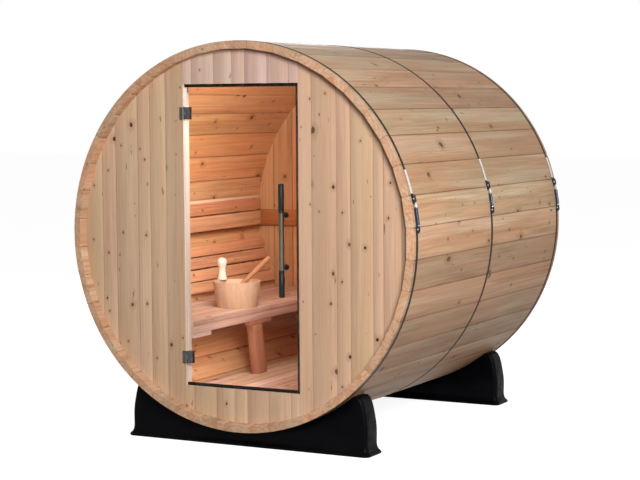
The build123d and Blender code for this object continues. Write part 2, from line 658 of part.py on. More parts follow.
# ---------------------------------------------------------------- door: glass, clamps and handle
with BuildPart() as glass:
    with BuildSketch(across(GLASS_BACK)):
        with Locations(((GLASS_LEFT + GLASS_RIGHT) / 2, (GLASS_TOP + GLASS_BOTTOM) / 2)):
            Rectangle(GLASS_RIGHT - GLASS_LEFT, GLASS_TOP - GLASS_BOTTOM)
    extrude(amount=GLASS_THICKNESS)
keep(glass, "door_glass")

clamp_right = GLASS_LEFT + CLAMP_WIDTH
tongue_end = GLASS_LEFT + CLAMP_TONGUE
with BuildPart() as clamps:
    for mid in HINGE_LEVELS:
        with BuildSketch(across(WALL_FRONT)):
            with Locations(((GLASS_LEFT + clamp_right) / 2, mid)):
                Rectangle(CLAMP_WIDTH, HINGE_HEIGHT)
        extrude(amount=CLAMP_THICKNESS)
        with BuildSketch(level(mid - HINGE_HEIGHT / 2 - KNUCKLE_CLEARANCE)):
            with Locations((HINGE_PIN_X, PIN_Y)):
                Circle(KNUCKLE_RADIUS + KNUCKLE_CLEARANCE)
        extrude(amount=HINGE_HEIGHT + 2 * KNUCKLE_CLEARANCE, mode=Mode.SUBTRACT)
        with BuildSketch(level(mid - knuckle / 2)):
            with Locations((HINGE_PIN_X, PIN_Y)):
                Circle(KNUCKLE_RADIUS)
            with Locations(((HINGE_PIN_X + tongue_end) / 2, PIN_Y - KNUCKLE_CLEARANCE / 2)):
                Rectangle(tongue_end - HINGE_PIN_X, CLAMP_THICKNESS - KNUCKLE_CLEARANCE)
            with Locations((HINGE_PIN_X, PIN_Y)):
                Circle(PIN_RADIUS + PIN_CLEARANCE, mode=Mode.SUBTRACT)
        extrude(amount=knuckle)
        with BuildSketch(across(GLASS_BACK + CLAMP_THICKNESS)):
            with Locations(((GLASS_LEFT + CLAMP_STEP + clamp_right) / 2, mid)):
                Rectangle(CLAMP_WIDTH - CLAMP_STEP, HINGE_HEIGHT)
        extrude(amount=CLAMP_THICKNESS)
keep(clamps, "hinge_door_clamps")

bar_y = WALL_FRONT - HANDLE_STANDOFF
with BuildPart() as bar:
    with BuildSketch(level(HANDLE_MOUNTS[0])):
        with Locations((HANDLE_X, bar_y)):
            Circle(HANDLE_RADIUS)
    extrude(amount=HANDLE_MOUNTS[1] - HANDLE_MOUNTS[0])
    for mid in HANDLE_MOUNTS:
        inward = STANDOFF_INSET if mid < 0 else -STANDOFF_INSET
        with BuildSketch(across(WALL_FRONT)):
            with Locations((HANDLE_X, mid + inward)):
                Circle(STANDOFF_RADIUS)
        extrude(amount=HANDLE_STANDOFF)
keep(bar, "door_handle_bar")

with BuildPart() as sleeves:
    for low, high in ((HANDLE_BOTTOM, HANDLE_MOUNTS[0]), (HANDLE_MOUNTS[1], HANDLE_TOP)):
        with BuildSketch(level(low)):
            with Locations((HANDLE_X, bar_y)):
                Circle(HANDLE_SLEEVE_RADIUS)
        extrude(amount=high - low)
keep(sleeves, "door_handle_ends")

with BuildPart() as washers:
    for mid in HANDLE_MOUNTS:
        inward = STANDOFF_INSET if mid < 0 else -STANDOFF_INSET
        with BuildSketch(across(GLASS_BACK + WASHER_THICKNESS)):
            with Locations((HANDLE_X, mid + inward)):
                Circle(WASHER_RADIUS)
        extrude(amount=WASHER_THICKNESS)
keep(washers, "door_handle_washers")
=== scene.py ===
"""Barrel sauna: finished pieces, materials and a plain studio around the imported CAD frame.

Units are metres. +Z is up, the front wall faces -Y and the barrel's axis runs along Y.
"""

from __future__ import annotations

import logging
import math
import random
from contextlib import contextmanager
from dataclasses import dataclass, field, fields
from enum import Enum
from typing import Callable, Iterable, Iterator, Sequence

import bmesh
import bpy
import numpy as np
from mathutils import Matrix, Vector

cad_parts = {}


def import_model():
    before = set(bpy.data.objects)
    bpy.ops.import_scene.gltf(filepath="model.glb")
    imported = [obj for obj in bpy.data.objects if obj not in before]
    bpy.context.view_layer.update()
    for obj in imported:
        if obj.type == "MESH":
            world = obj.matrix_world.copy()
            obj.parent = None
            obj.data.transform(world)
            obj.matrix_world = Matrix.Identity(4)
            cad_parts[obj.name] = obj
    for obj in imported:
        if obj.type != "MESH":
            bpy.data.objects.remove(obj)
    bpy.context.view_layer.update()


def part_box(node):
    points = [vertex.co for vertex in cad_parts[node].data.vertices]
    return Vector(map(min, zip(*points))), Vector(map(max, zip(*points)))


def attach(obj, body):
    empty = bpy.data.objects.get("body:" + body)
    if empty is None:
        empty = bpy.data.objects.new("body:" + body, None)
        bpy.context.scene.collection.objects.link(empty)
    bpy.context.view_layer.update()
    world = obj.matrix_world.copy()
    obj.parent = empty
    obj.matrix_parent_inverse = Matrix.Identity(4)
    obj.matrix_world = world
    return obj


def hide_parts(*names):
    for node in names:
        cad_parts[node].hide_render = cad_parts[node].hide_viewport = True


LOG = logging.getLogger("barrel_sauna")

Colour = tuple[float, float, float]
Plane = tuple[Vector, Vector]
Point = Sequence[float]
Triple = tuple[float, float, float]
Span = tuple[float, float]
Edge = bmesh.types.BMEdge
Node = bpy.types.Node
Object = bpy.types.Object
Polygon = bpy.types.MeshPolygon
Socket = bpy.types.NodeSocket
Tree = bpy.types.NodeTree
Choice = Callable[[Polygon], int]

EAST, UP = Vector((1.0, 0.0, 0.0)), Vector((0.0, 0.0, 1.0))
CUT_CLEARANCE = 0.0002
BROAD_CLEARANCE = 0.0003
EASED = 0.002


class Axis(Enum):
    """A direction of the row frame, by its index."""

    X = 0
    Y = 1
    Z = 2


class Body(Enum):
    """The two CAD bodies that pieces ride on."""

    CABIN = "cabin"
    DOOR = "door"


class Element(Enum):
    """What a selection in edit mode is made of: the select mode's three switches."""

    EDGE = (False, True, False)
    FACE = (False, False, True)


class GrainSource(Enum):
    """Where a wooden material reads its grain coordinates from."""

    BOARD = "the board's own Grain, Board and Seam attributes"
    ALONG_X = "Object coordinates, grain along X"


# ---- shader building


class Graph:
    """Adds and links nodes in one node tree."""

    def __init__(self, tree: Tree) -> None:
        """Keep the tree to build in."""
        self.tree = tree
        self.count = 0

    def node(self, kind: str, inputs: dict | None = None, **settings: object) -> Node:
        """Add a node, set its properties and fill its inputs.

        Args:
            kind: the node's Blender type.
            inputs: values or sockets by input name or index.
            settings: properties of the node.

        Returns:
            The new node.
        """
        made = self.tree.nodes.new(kind)
        made.location = (180 * (self.count % 12), -260 * (self.count // 12))
        self.count += 1
        for key, value in settings.items():
            setattr(made, key, value)
        for key, value in (inputs or {}).items():
            self.fill(made.inputs[key], value)
        return made

    def fill(self, socket: Socket, value: object) -> None:
        """Link a socket to an input, or set the input's own value."""
        if isinstance(value, Socket):
            self.tree.links.new(value, socket)
        elif isinstance(value, tuple) and len(value) == 3 and socket.type == "RGBA":
            socket.default_value = (*value, 1.0)
        else:
            socket.default_value = value

    def math(self, operation: str, *values: object, clamp: bool = False) -> Socket:
        """Result of a Math node on sockets or numbers."""
        made = self.node("ShaderNodeMath", dict(enumerate(values)), operation=operation, use_clamp=clamp)
        return made.outputs[0]

    def add(self, a: object, b: object) -> Socket:
        """Sum of two values."""
        return self.math("ADD", a, b)

    def mul(self, a: object, b: object) -> Socket:
        """Product of two values."""
        return self.math("MULTIPLY", a, b)

    def mul_add(self, a: object, b: object, c: object) -> Socket:
        """Product of two values, plus a third."""
        return self.math("MULTIPLY_ADD", a, b, c)

    def centred(self, value: object) -> Socket:
        """A value from 0 to 1, taken to -0.5 to 0.5."""
        return self.math("SUBTRACT", value, 0.5)

    def mix(self, factor: object, a: object, b: object, blend: str = "MIX") -> Socket:
        """Colour between a and b, or a changed by b in a blend mode."""
        made = self.node("ShaderNodeMix", data_type="RGBA", blend_type=blend, clamp_result=False)
        for index, value in ((0, factor), (6, a), (7, b)):
            self.fill(made.inputs[index], value)
        return made.outputs[2]

    def tinted(self, colour: object, tint: object) -> Socket:
        """One colour multiplied by another."""
        return self.mix(1.0, colour, tint, "MULTIPLY")

    def remap(self, value: object, low: object, high: object, to_low: float = 0.0, to_high: float = 1.0,
              smooth: bool = False) -> Socket:
        """Value taken from one range to another, clamped."""
        return self.node("ShaderNodeMapRange", dict(enumerate((value, low, high, to_low, to_high))),
                         interpolation_type="SMOOTHSTEP" if smooth else "LINEAR").outputs[0]

    def vector(self, x: object, y: object, z: object) -> Socket:
        """Vector of three sockets or numbers."""
        return self.node("ShaderNodeCombineXYZ", {0: x, 1: y, 2: z}).outputs[0]

    def noise(self, vector: object, detail: float = 2.0, rough: float = 0.5) -> Socket:
        """Noise from about 0.3 to 0.7 at the scale of the vector itself."""
        return self.node("ShaderNodeTexNoise",
                         {"Vector": vector, "Scale": 1.0, "Detail": detail, "Roughness": rough},
                         noise_dimensions="3D").outputs[0]

    def object_place(self, **mapping: Point) -> Socket:
        """Object coordinates, with the Location, Rotation or Scale of a Mapping node."""
        place = self.node("ShaderNodeTexCoord").outputs["Object"]
        return self.node("ShaderNodeMapping", {"Vector": place, **mapping}).outputs[0]

    def seen_directly(self) -> Socket:
        """1 for what the camera, a reflection or the glass sees, 0 for light that bounces."""
        path = self.node("ShaderNodeLightPath").outputs
        mirrored = self.math("MAXIMUM", path["Is Glossy Ray"], path["Is Transmission Ray"])
        return self.math("MAXIMUM", path["Is Camera Ray"], mirrored)


def blank_tree(owner: bpy.types.Material | bpy.types.World) -> Graph:
    """Graph of a material's or world's emptied node tree."""
    owner.use_nodes = True
    owner.node_tree.nodes.clear()
    return Graph(owner.node_tree)


def new_group(name: str, takes: dict[str, str], gives: dict[str, str]) -> tuple[Graph, dict, dict]:
    """Start a shader node group with named sockets.

    Args:
        name: the group's name.
        takes: the names of the inputs by their socket type, with commas between them.
        gives: the names of the outputs, likewise.

    Returns:
        The group's graph, the sockets of its inputs and the sockets of its outputs, by name.
    """
    tree = bpy.data.node_groups.new(name, "ShaderNodeTree")
    for way, sockets in (("INPUT", takes), ("OUTPUT", gives)):
        for kind, labels in sockets.items():
            for label in labels.split(", "):
                tree.interface.new_socket(name=label, in_out=way, socket_type="NodeSocket" + kind)
    g = Graph(tree)
    return g, g.node("NodeGroupInput").outputs, g.node("NodeGroupOutput").inputs


def softwood_group() -> Tree:
    """The softwood grain group, built once: streaks, growth rings, knots and seams of one board."""
    name = "Softwood Grain"
    if name in bpy.data.node_groups:
        return bpy.data.node_groups[name]
    g, i, result = new_group(
        name,
        {"Vector": "Grain", "Color": "Pale, Warm, Dark, Knot, Tint A, Tint B",
         "Float": "Tone, Hue, Knots, Seam, Streaks, Rings, Ring Pitch, Knot Size, Seam Shade, Seam From, "
                  "Mottle, Lines, Sapwood, Marks"},
        {"Color": "Color", "Float": "Height, Roughness"},
    )
    along, across, depth = g.node("ShaderNodeSeparateXYZ", {0: i["Grain"]}).outputs
    dark, pitch = i["Dark"], i["Ring Pitch"]

    def cloud(a: float, c: float, shift: float = 0.0, detail: float = 2.0, rough: float = 0.5) -> Socket:
        """Noise stretched along the grain, with a waves per metre along it and c across it."""
        return g.noise(g.vector(g.mul_add(along, a, shift), g.mul(across, c), g.mul(depth, c)), detail, rough)

    # knots sit in cells 160 mm long and 120 mm wide
    cells = g.node(
        "ShaderNodeTexVoronoi",
        {"Vector": g.vector(g.mul(along, 6.2), g.mul(across, 8.3), 0.0), "Scale": 1.0, "Randomness": 1.0},
        voronoi_dimensions="2D",
    ).outputs
    chance, growth, depth_of_colour = g.node("ShaderNodeSeparateColor", {0: cells["Color"]}).outputs
    away = g.mul(cells["Distance"], g.mul_add(cloud(22.0, 60.0, detail=1.0), 1.3, 0.35))
    present = g.math("LESS_THAN", chance, i["Knots"])
    rare = g.mul_add(g.math("POWER", growth, 8.0), 1.5, 0.40)
    size = g.mul(i["Knot Size"], g.mul_add(growth, 0.95, rare))
    core = g.mul(g.remap(away, g.mul(size, 0.7), size, 1.0, 0.0, True), present)
    halo = g.mul(g.remap(away, size, g.mul(size, 3.4), 1.0, 0.0, True), present)

    # growth rings round a pith that wanders along the board, bent round the knots
    side = g.add(across, g.mul(g.centred(cloud(1.3, 2.2)), 0.09))
    radius = g.math("SQRT", g.add(g.mul(side, side), g.mul(depth, depth)))
    folded = g.math("PINGPONG", g.add(radius, g.mul(halo, g.mul(pitch, 1.6))), pitch)
    ring = g.math("POWER", g.math("DIVIDE", folded, pitch), 3.0, clamp=True)

    # slow changes of colour, streaks that fade in and out, and fibres
    broad = g.remap(cloud(0.55, 9.0, 7.0), 0.36, 0.64)
    lively = g.remap(cloud(1.1, 4.5, 57.0, 1.0), 0.38, 0.60, 0.40, 1.0)
    streak = g.mul(g.remap(cloud(1.9, 23.0, 19.0, 3.0, 0.6), 0.45, 0.74), lively)
    fibre = cloud(9.0, 330.0, 3.0)

    # colour, from the broadest changes to the finest lines
    colour = g.mix(broad, i["Pale"], i["Warm"])
    sapwood = g.mul(g.remap(cloud(0.45, 13.0, 91.0, 1.5), 0.56, 0.64), i["Sapwood"])
    colour = g.mix(sapwood, colour, g.tinted(i["Pale"], (1.10, 1.22, 1.36)))
    colour = g.mix(g.mul(streak, i["Streaks"]), colour, dark)
    colour = g.mix(g.mul(ring, i["Rings"]), colour, dark)
    bands = g.centred(g.remap(cloud(1.7, 11.0, 31.0, 2.5), 0.36, 0.64))
    hue = g.math("MULTIPLY_ADD", bands, i["Mottle"], i["Hue"], clamp=True)
    colour = g.tinted(colour, g.mix(hue, i["Tint A"], i["Tint B"]))
    thin = g.mul(g.centred(cloud(1.8, 90.0, 43.0, 3.0, 0.6)), lively)
    lined = g.mul_add(thin, g.mul(i["Lines"], 2.4), 1.0)
    light = g.mul(i["Tone"], g.mul(lined, g.mul_add(fibre, 0.24, 0.88)))
    colour = g.tinted(colour, g.node("ShaderNodeCombineColor", {0: light, 1: light, 2: light}).outputs[0])

    # small brown marks, knots, and seams that are darker where they are worn
    marks = g.mul(g.remap(cloud(12.0, 40.0, 113.0), 0.715, 0.75), i["Marks"])
    colour = g.mix(marks, colour, g.tinted(dark, (0.62, 0.52, 0.46)))
    colour = g.mix(g.mul(halo, 0.45), colour, dark)
    colour = g.mix(g.mul(core, g.mul_add(depth_of_colour, 0.22, 0.78)), colour, i["Knot"])
    seam = g.remap(g.math("ABSOLUTE", i["Seam"]), i["Seam From"], 1.0, 0.0, 1.0, True)
    worn = g.remap(cloud(3.0, 2.0, 71.0), 0.36, 0.62, 0.45, 1.0)
    shade = g.mul(g.mul(seam, worn), i["Seam Shade"])
    colour = g.tinted(colour, g.mix(shade, (1.0, 1.0, 1.0), (0.30, 0.14, 0.08)))

    low = g.add(g.mul(ring, 0.35), g.mul(core, 0.6))
    g.fill(result["Color"], colour)
    g.fill(result["Height"], g.math("SUBTRACT", g.mul(fibre, 0.5), low))
    g.fill(result["Roughness"], g.add(0.52, g.mul(streak, 0.16)))
    return g.tree


def wear_group() -> Tree:
    """The surface wear group, built once: blotches, fine scratches or grain on metal, plastic and rubber."""
    name = "Surface Wear"
    if name in bpy.data.node_groups:
        return bpy.data.node_groups[name]
    g, i, result = new_group(
        name,
        {"Vector": "Position", "Color": "Base, Worn",
         "Float": "Blotch Scale, Fine Scale, Worn Amount, Roughness, Spread"},
        {"Color": "Color", "Float": "Height, Roughness"},
    )
    blotch, fine = (
        g.noise(g.node("ShaderNodeVectorMath", {0: i["Position"], "Scale": i[label]},
                       operation="SCALE").outputs[0],
                detail, rough)
        for label, detail, rough in (("Blotch Scale", 4.0, 0.6), ("Fine Scale", 3.0, 0.55))
    )
    mask = g.mul(g.remap(g.mul_add(fine, 0.3, blotch), 0.55, 0.82), i["Worn Amount"])
    g.fill(result["Color"], g.mix(mask, i["Base"], i["Worn"]))
    g.fill(result["Height"], fine)
    g.fill(result["Roughness"],
           g.math("ADD", i["Roughness"], g.mul(g.centred(blotch), i["Spread"]), clamp=True))
    return g.tree


# ---- finishes


@dataclass(frozen=True)
class Finish:
    """A surface with a name, whose material is built on first use."""

    name: str

    def material(self) -> bpy.types.Material:
        """The finish's material."""
        if self.name in bpy.data.materials:
            return bpy.data.materials[self.name]
        made = bpy.data.materials.new(self.name)
        g = blank_tree(made)
        shader = g.node("ShaderNodeBsdfPrincipled")
        g.node("ShaderNodeOutputMaterial", {"Surface": shader.outputs[0]})
        self.shade(g, shader)
        return made

    def shade(self, g: Graph, shader: Node) -> None:
        """Fill the inputs of the material's shader."""
        raise NotImplementedError


@dataclass(frozen=True, kw_only=True)
class GroupFinish(Finish):
    """A finish drawn by a node group, whose inputs are named like the finish's own values."""

    bump: float = 0.0002
    bump_strength: float = 0.5
    metallic: float = 0.0
    specular: float = 0.5

    def draw(self, g: Graph, shader: Node, tree: Tree, given: dict) -> None:
        """Place the group and link it to the shader.

        Args:
            g: the material's graph.
            shader: its Principled BSDF.
            tree: the group.
            given: the inputs that are not among the finish's own values.
        """
        group = g.node("ShaderNodeGroup", node_tree=tree)
        own = {one.name.replace("_", " ").title(): getattr(self, one.name) for one in fields(self)}
        for label, value in (own | given).items():
            if label in group.inputs:
                g.fill(group.inputs[label], value)
        out = group.outputs
        bump = g.node("ShaderNodeBump",
                      {"Strength": self.bump_strength, "Distance": self.bump, "Height": out["Height"]})
        for label, value in (
            ("Base Color", out["Color"]), ("Roughness", out["Roughness"]), ("Normal", bump.outputs[0]),
            ("Metallic", self.metallic), ("Specular IOR Level", self.specular),
        ):
            g.fill(shader.inputs[label], value)


@dataclass(frozen=True, kw_only=True)
class WoodFinish(GroupFinish):
    """A planed softwood: its colours, and how strongly streaks, rings, knots and seams show."""

    pale: Colour
    warm: Colour
    dark: Colour
    knot: Colour = (0.035, 0.016, 0.01)
    tint_a: Colour = (1.0, 1.0, 1.0)
    tint_b: Colour = (1.0, 1.0, 1.0)
    tones: Span = (0.95, 1.05)
    streaks: float = 0.45
    rings: float = 0.25
    ring_pitch: float = 0.0045
    knot_size: float = 0.06
    knottiness: float = 0.3
    seam_shade: float = 0.3
    seam_from: float = 0.93
    mottle: float = 0.9
    lines: float = 0.35
    sapwood: float = 0.0
    marks: float = 0.0
    bump: float = 0.0006
    bump_strength: float = 0.6
    specular: float = 0.2
    source: GrainSource = GrainSource.BOARD
    origin: Triple = (3.3, 0.07, -0.31)

    def shade(self, g: Graph, shader: Node) -> None:
        """Grain from the board's own attributes, or from Object coordinates."""
        if self.source is GrainSource.BOARD:
            grain, board, seam = (
                g.node("ShaderNodeAttribute", attribute_name=name).outputs
                for name in ("Grain", "Board", "Seam")
            )
            tone, hue, knots = g.node("ShaderNodeSeparateXYZ", {0: board["Vector"]}).outputs
            given = {
                "Grain": grain["Vector"], "Tone": g.remap(tone, 0.0, 1.0, *self.tones), "Hue": hue,
                "Knots": g.mul(knots, 2 * self.knottiness), "Seam": seam["Fac"],
            }
        else:
            given = {
                "Grain": g.object_place(Location=self.origin), "Tone": 1.0, "Hue": 0.5,
                "Knots": self.knottiness, "Seam": 0.0,
            }
        self.draw(g, shader, softwood_group(), given)


@dataclass(frozen=True, kw_only=True)
class HardFinish(GroupFinish):
    """A metal, plastic or rubber with a worn second colour."""

    base: Colour
    worn: Colour
    roughness: float = 0.5
    spread: float = 0.3
    worn_amount: float = 0.5
    blotch_scale: float = 12.0
    fine_scale: float = 400.0
    stretch: Triple = (1.0, 1.0, 1.0)

    def shade(self, g: Graph, shader: Node) -> None:
        """Wear at its place on the object."""
        self.draw(g, shader, wear_group(), {"Position": g.object_place(Scale=self.stretch)})


@dataclass(frozen=True, kw_only=True)
class GlassFinish(Finish):
    """Clear toughened glass with a faint film on it."""

    tint: Colour = (0.93, 0.97, 0.95)
    clear: float = 0.02
    filmed: float = 0.04
    ior: float = 1.45
    film_scale: Triple = (6.0, 6.0, 1.5)
    film_range: Span = (0.35, 0.65)
    film_roughness: float = 0.06

    def shade(self, g: Graph, shader: Node) -> None:
        """A film that varies over the pane, on plain glass."""
        film = g.noise(g.object_place(Scale=self.film_scale), 3.0)
        for label, value in (
            ("Base Color", self.tint), ("IOR", self.ior), ("Transmission Weight", 1.0),
            ("Alpha", g.remap(film, *self.film_range, self.clear, self.filmed)),
            ("Roughness", g.remap(film, *self.film_range, 0.0, self.film_roughness)),
        ):
            g.fill(shader.inputs[label], value)


STAVE_OUTSIDE = WoodFinish(
    "Stave outside", pale=(0.59, 0.4, 0.245), warm=(0.52, 0.32, 0.18), dark=(0.3, 0.155, 0.08),
    knot=(0.066, 0.025, 0.008), tint_a=(1.07, 0.945, 0.9), tint_b=(0.97, 1.015, 0.98), tones=(0.75, 1.2),
    streaks=0.42, rings=0.18, knot_size=0.044, knottiness=0.34, seam_shade=0.7, lines=0.4, sapwood=0.7,
    marks=0.85,
)
STAVE_INSIDE = WoodFinish(
    "Stave inside", pale=(0.68, 0.39, 0.195), warm=(0.61, 0.31, 0.135), dark=(0.33, 0.13, 0.045),
    knot=(0.07, 0.02, 0.008), tint_a=(1.05, 0.94, 0.92), tint_b=(1.0, 1.0, 0.96), tones=(0.84, 1.12),
    rings=0.3, knot_size=0.054, knottiness=0.62, seam_shade=1.0, seam_from=0.87, lines=0.3, marks=0.8,
)
END_GRAIN = WoodFinish(
    "Stave end grain", pale=(0.645, 0.438, 0.3), warm=(0.565, 0.362, 0.228), dark=(0.38, 0.16, 0.07),
    tint_a=(1.05, 0.93, 0.86), tint_b=(0.98, 1.01, 1.0), tones=(0.9, 1.1), streaks=0.75, rings=0.32,
    ring_pitch=0.01, knottiness=0.0, mottle=0.8, lines=0.4, sapwood=0.35, marks=0.9,
)
WALL_OUTSIDE = WoodFinish(
    "Wall boards outside", pale=(0.632, 0.442, 0.3), warm=(0.57, 0.375, 0.242), dark=(0.4, 0.22, 0.13),
    knot=(0.045, 0.018, 0.009), tint_a=(1.015, 0.97, 0.985), tint_b=(0.99, 1.0, 0.935), tones=(0.85, 1.12),
    streaks=0.24, rings=0.14, knot_size=0.04, knottiness=0.68, seam_shade=0.28, mottle=0.42, lines=0.2,
    sapwood=0.16, marks=0.8,
)
WALL_INSIDE = WoodFinish(
    "Wall boards inside", pale=(0.62, 0.33, 0.17), warm=(0.53, 0.24, 0.11), dark=(0.3, 0.11, 0.04),
    knot=(0.07, 0.02, 0.008), tint_a=(1.05, 0.93, 0.92), tint_b=(0.95, 1.02, 0.98), tones=(0.76, 1.14),
    streaks=0.6, rings=0.3, knot_size=0.048, knottiness=0.55, seam_shade=0.75, seam_from=0.9, mottle=1.0,
    lines=0.4, marks=0.7,
)
LINTEL_WOOD = WoodFinish(
    "Boards over the door", pale=(0.66, 0.485, 0.41), warm=(0.59, 0.405, 0.32), dark=(0.42, 0.24, 0.17),
    knot=(0.045, 0.018, 0.009), tint_a=(1.03, 0.965, 1.02), tint_b=(0.985, 1.01, 0.96), tones=(0.9, 1.1),
    streaks=0.26, rings=0.14, knot_size=0.036, knottiness=0.65, seam_shade=0.28, mottle=0.55, lines=0.2,
    sapwood=0.35, marks=0.6,
)
# painted light: a paler copy of the backrest wood for the upward faces at the top of the upper board
SLAT_TOP_PAINTED_LIGHT = WoodFinish(
    "Backrest top edge", pale=(0.84, 0.64, 0.5), warm=(0.78, 0.56, 0.42), dark=(0.45, 0.22, 0.12),
    streaks=0.25, rings=0.15, knot_size=0.035, seam_shade=0.0,
)
# painted shade: a darker copy of the bench wood for the front board of the seat
APRON_WOOD_PAINTED_SHADE = WoodFinish(
    "Bench front board", pale=(0.52, 0.365, 0.3), warm=(0.48, 0.3, 0.225), dark=(0.27, 0.115, 0.062),
    tint_a=(1.04, 0.94, 0.97), tint_b=(0.98, 1.02, 0.96), streaks=0.4, knot_size=0.036, lines=0.4,
)
JAMB = WoodFinish(
    "Doorway edges", pale=(0.68, 0.59, 0.515), warm=(0.64, 0.525, 0.43), dark=(0.52, 0.38, 0.28), streaks=0.2,
    rings=0.12, knottiness=0.1, seam_shade=0.1,
)
RAIL_WOOD = WoodFinish(
    "Rail and trim boards", pale=(0.46, 0.168, 0.054), warm=(0.4, 0.124, 0.039), dark=(0.28, 0.09, 0.03),
    tint_a=(1.05, 0.95, 0.9), tint_b=(0.95, 1.0, 1.0), tones=(0.9, 1.1), streaks=0.4, knot_size=0.035,
    seam_shade=0.4,
)
SLAT_WOOD = WoodFinish(
    "Backrest boards", pale=(0.74, 0.43, 0.245), warm=(0.66, 0.33, 0.165), dark=(0.33, 0.13, 0.055),
    tint_a=(1.06, 0.93, 0.96), tint_b=(1.0, 0.98, 0.96), tones=(0.88, 1.12), knot_size=0.04, knottiness=0.4,
    seam_shade=0.55, lines=0.5, marks=0.6,
)
FLOOR_WOOD = WoodFinish(
    "Floor planks", pale=(0.66, 0.51, 0.44), warm=(0.56, 0.375, 0.27), dark=(0.32, 0.13, 0.055),
    tint_a=(1.07, 0.95, 1.0), tint_b=(1.0, 0.96, 0.82), tones=(0.86, 1.12), streaks=0.5, knot_size=0.04,
    knottiness=0.25, seam_shade=0.6, mottle=1.2, lines=0.5, marks=0.6,
)
INNER_TRIM = WoodFinish(
    "Ribs and joists", pale=(0.58, 0.27, 0.12), warm=(0.5, 0.2, 0.08), dark=(0.3, 0.1, 0.04), streaks=0.3,
    rings=0.22, seam_shade=0.35, source=GrainSource.ALONG_X,
)
BENCH_WOOD = WoodFinish(
    "Bench boards", pale=(0.61, 0.445, 0.38), warm=(0.56, 0.37, 0.29), dark=(0.33, 0.14, 0.075),
    tint_a=(1.04, 0.94, 0.97), tint_b=(0.98, 1.02, 0.96), tones=(0.9, 1.1), knot_size=0.04, seam_shade=0.35,
    lines=0.5, marks=0.5,
)
LEG_WOOD = WoodFinish(
    "Bench leg", pale=(0.375, 0.165, 0.095), warm=(0.33, 0.122, 0.06), dark=(0.22, 0.072, 0.032), streaks=0.5,
    knot_size=0.035,
)
BUCKET_WOOD = WoodFinish(
    "Bucket", pale=(0.64, 0.43, 0.285), warm=(0.6, 0.38, 0.235), dark=(0.5, 0.27, 0.15), tones=(0.94, 1.05),
    streaks=0.08, rings=0.1, knottiness=0.0, seam_shade=0.25, lines=0.2,
)
LADLE_WOOD = WoodFinish(
    "Ladle", pale=(0.52, 0.265, 0.145), warm=(0.46, 0.215, 0.105), dark=(0.34, 0.14, 0.06), streaks=0.35,
    rings=0.2, knottiness=0.0, seam_shade=0.2,
)
GRIP_WOOD = WoodFinish(
    "Turned grip", pale=(0.8, 0.7, 0.58), warm=(0.78, 0.66, 0.53), dark=(0.66, 0.5, 0.38), tones=(0.98, 1.04),
    streaks=0.25, rings=0.15, knottiness=0.0, seam_shade=0.0,
)
BAND_STEEL = HardFinish(
    "Band steel", base=(0.006, 0.005, 0.004), worn=(0.03, 0.024, 0.02), metallic=0.2, roughness=0.55,
    blotch_scale=22.0, specular=0.15,
)
TENSIONER_STEEL = HardFinish(
    "Zinc plated rods and nuts", base=(0.62, 0.66, 0.72), worn=(0.3, 0.33, 0.38), metallic=1.0,
    roughness=0.26, worn_amount=0.6, blotch_scale=60.0,
)
# a real strap end, whose near-white and mostly diffuse colour is a painted highlight
STRAP_PAINTED_HIGHLIGHT = HardFinish(
    "Bright strap ends", base=(0.86, 0.8, 0.78), worn=(0.62, 0.56, 0.54), metallic=0.35, roughness=0.42,
    spread=0.2, blotch_scale=40.0, specular=0.4,
)
FRAME_STEEL = HardFinish(
    "Tensioner frames", base=(0.07, 0.085, 0.105), worn=(0.16, 0.185, 0.215), metallic=0.8, roughness=0.34,
    worn_amount=0.6, blotch_scale=120.0,
)
BRACKET_STEEL = HardFinish(
    "Blackened brackets", base=(0.01, 0.011, 0.014), worn=(0.045, 0.048, 0.055), metallic=0.4, roughness=0.38,
    blotch_scale=80.0, specular=0.3,
)
BLACK_PLASTIC = HardFinish(
    "Cradle plastic", base=(0.001, 0.001, 0.0016), worn=(0.0032, 0.0032, 0.0044), roughness=0.38, spread=0.25,
    blotch_scale=7.0, fine_scale=260.0, bump=0.0004, specular=0.035,
)
SLEEVE_PLASTIC = HardFinish(
    "Handle sleeves", base=(0.006, 0.006, 0.006), worn=(0.016, 0.016, 0.016), roughness=0.42, spread=0.25,
    blotch_scale=40.0, fine_scale=500.0, specular=0.2,
)
SEAL_RUBBER = HardFinish(
    "Seal rubber", base=(0.009, 0.0055, 0.0038), worn=(0.02, 0.013, 0.009), roughness=0.65, spread=0.2,
    worn_amount=0.4, blotch_scale=18.0, fine_scale=500.0, specular=0.12,
)
HINGE_METAL = HardFinish(
    "Hinge metal", base=(0.095, 0.093, 0.092), worn=(0.05, 0.05, 0.044), metallic=0.8, roughness=0.4,
    spread=0.2, worn_amount=0.6, blotch_scale=40.0, specular=0.3,
)
HANDLE_STEEL = HardFinish(
    "Handle tube", base=(0.125, 0.104, 0.075), worn=(0.062, 0.048, 0.032), metallic=0.9, roughness=0.3,
    spread=0.2, worn_amount=0.6, blotch_scale=20.0, stretch=(1.0, 1.0, 0.15),
)
DOOR_GLASS = GlassFinish("Door glass")
# the glass's edge faces: nearly opaque dark green, partly the glass's own tint and partly painted shade
GLASS_EDGE_TINT_AND_SHADE = GlassFinish("Glass edges", tint=(0.045, 0.070, 0.055), clear=0.80, filmed=0.92)
STEELS = (TENSIONER_STEEL, BRACKET_STEEL, STRAP_PAINTED_HIGHLIGHT, FRAME_STEEL)


# ---- modelling


def deselect() -> None:
    """Object mode, with nothing selected."""
    if bpy.context.object is not None and bpy.context.object.mode != "OBJECT":
        bpy.ops.object.mode_set(mode="OBJECT")
    bpy.ops.object.select_all(action="DESELECT")


def take(obj: Object) -> None:
    """Make one object the selected and active one."""
    deselect()
    obj.select_set(True)
    bpy.context.view_layer.objects.active = obj


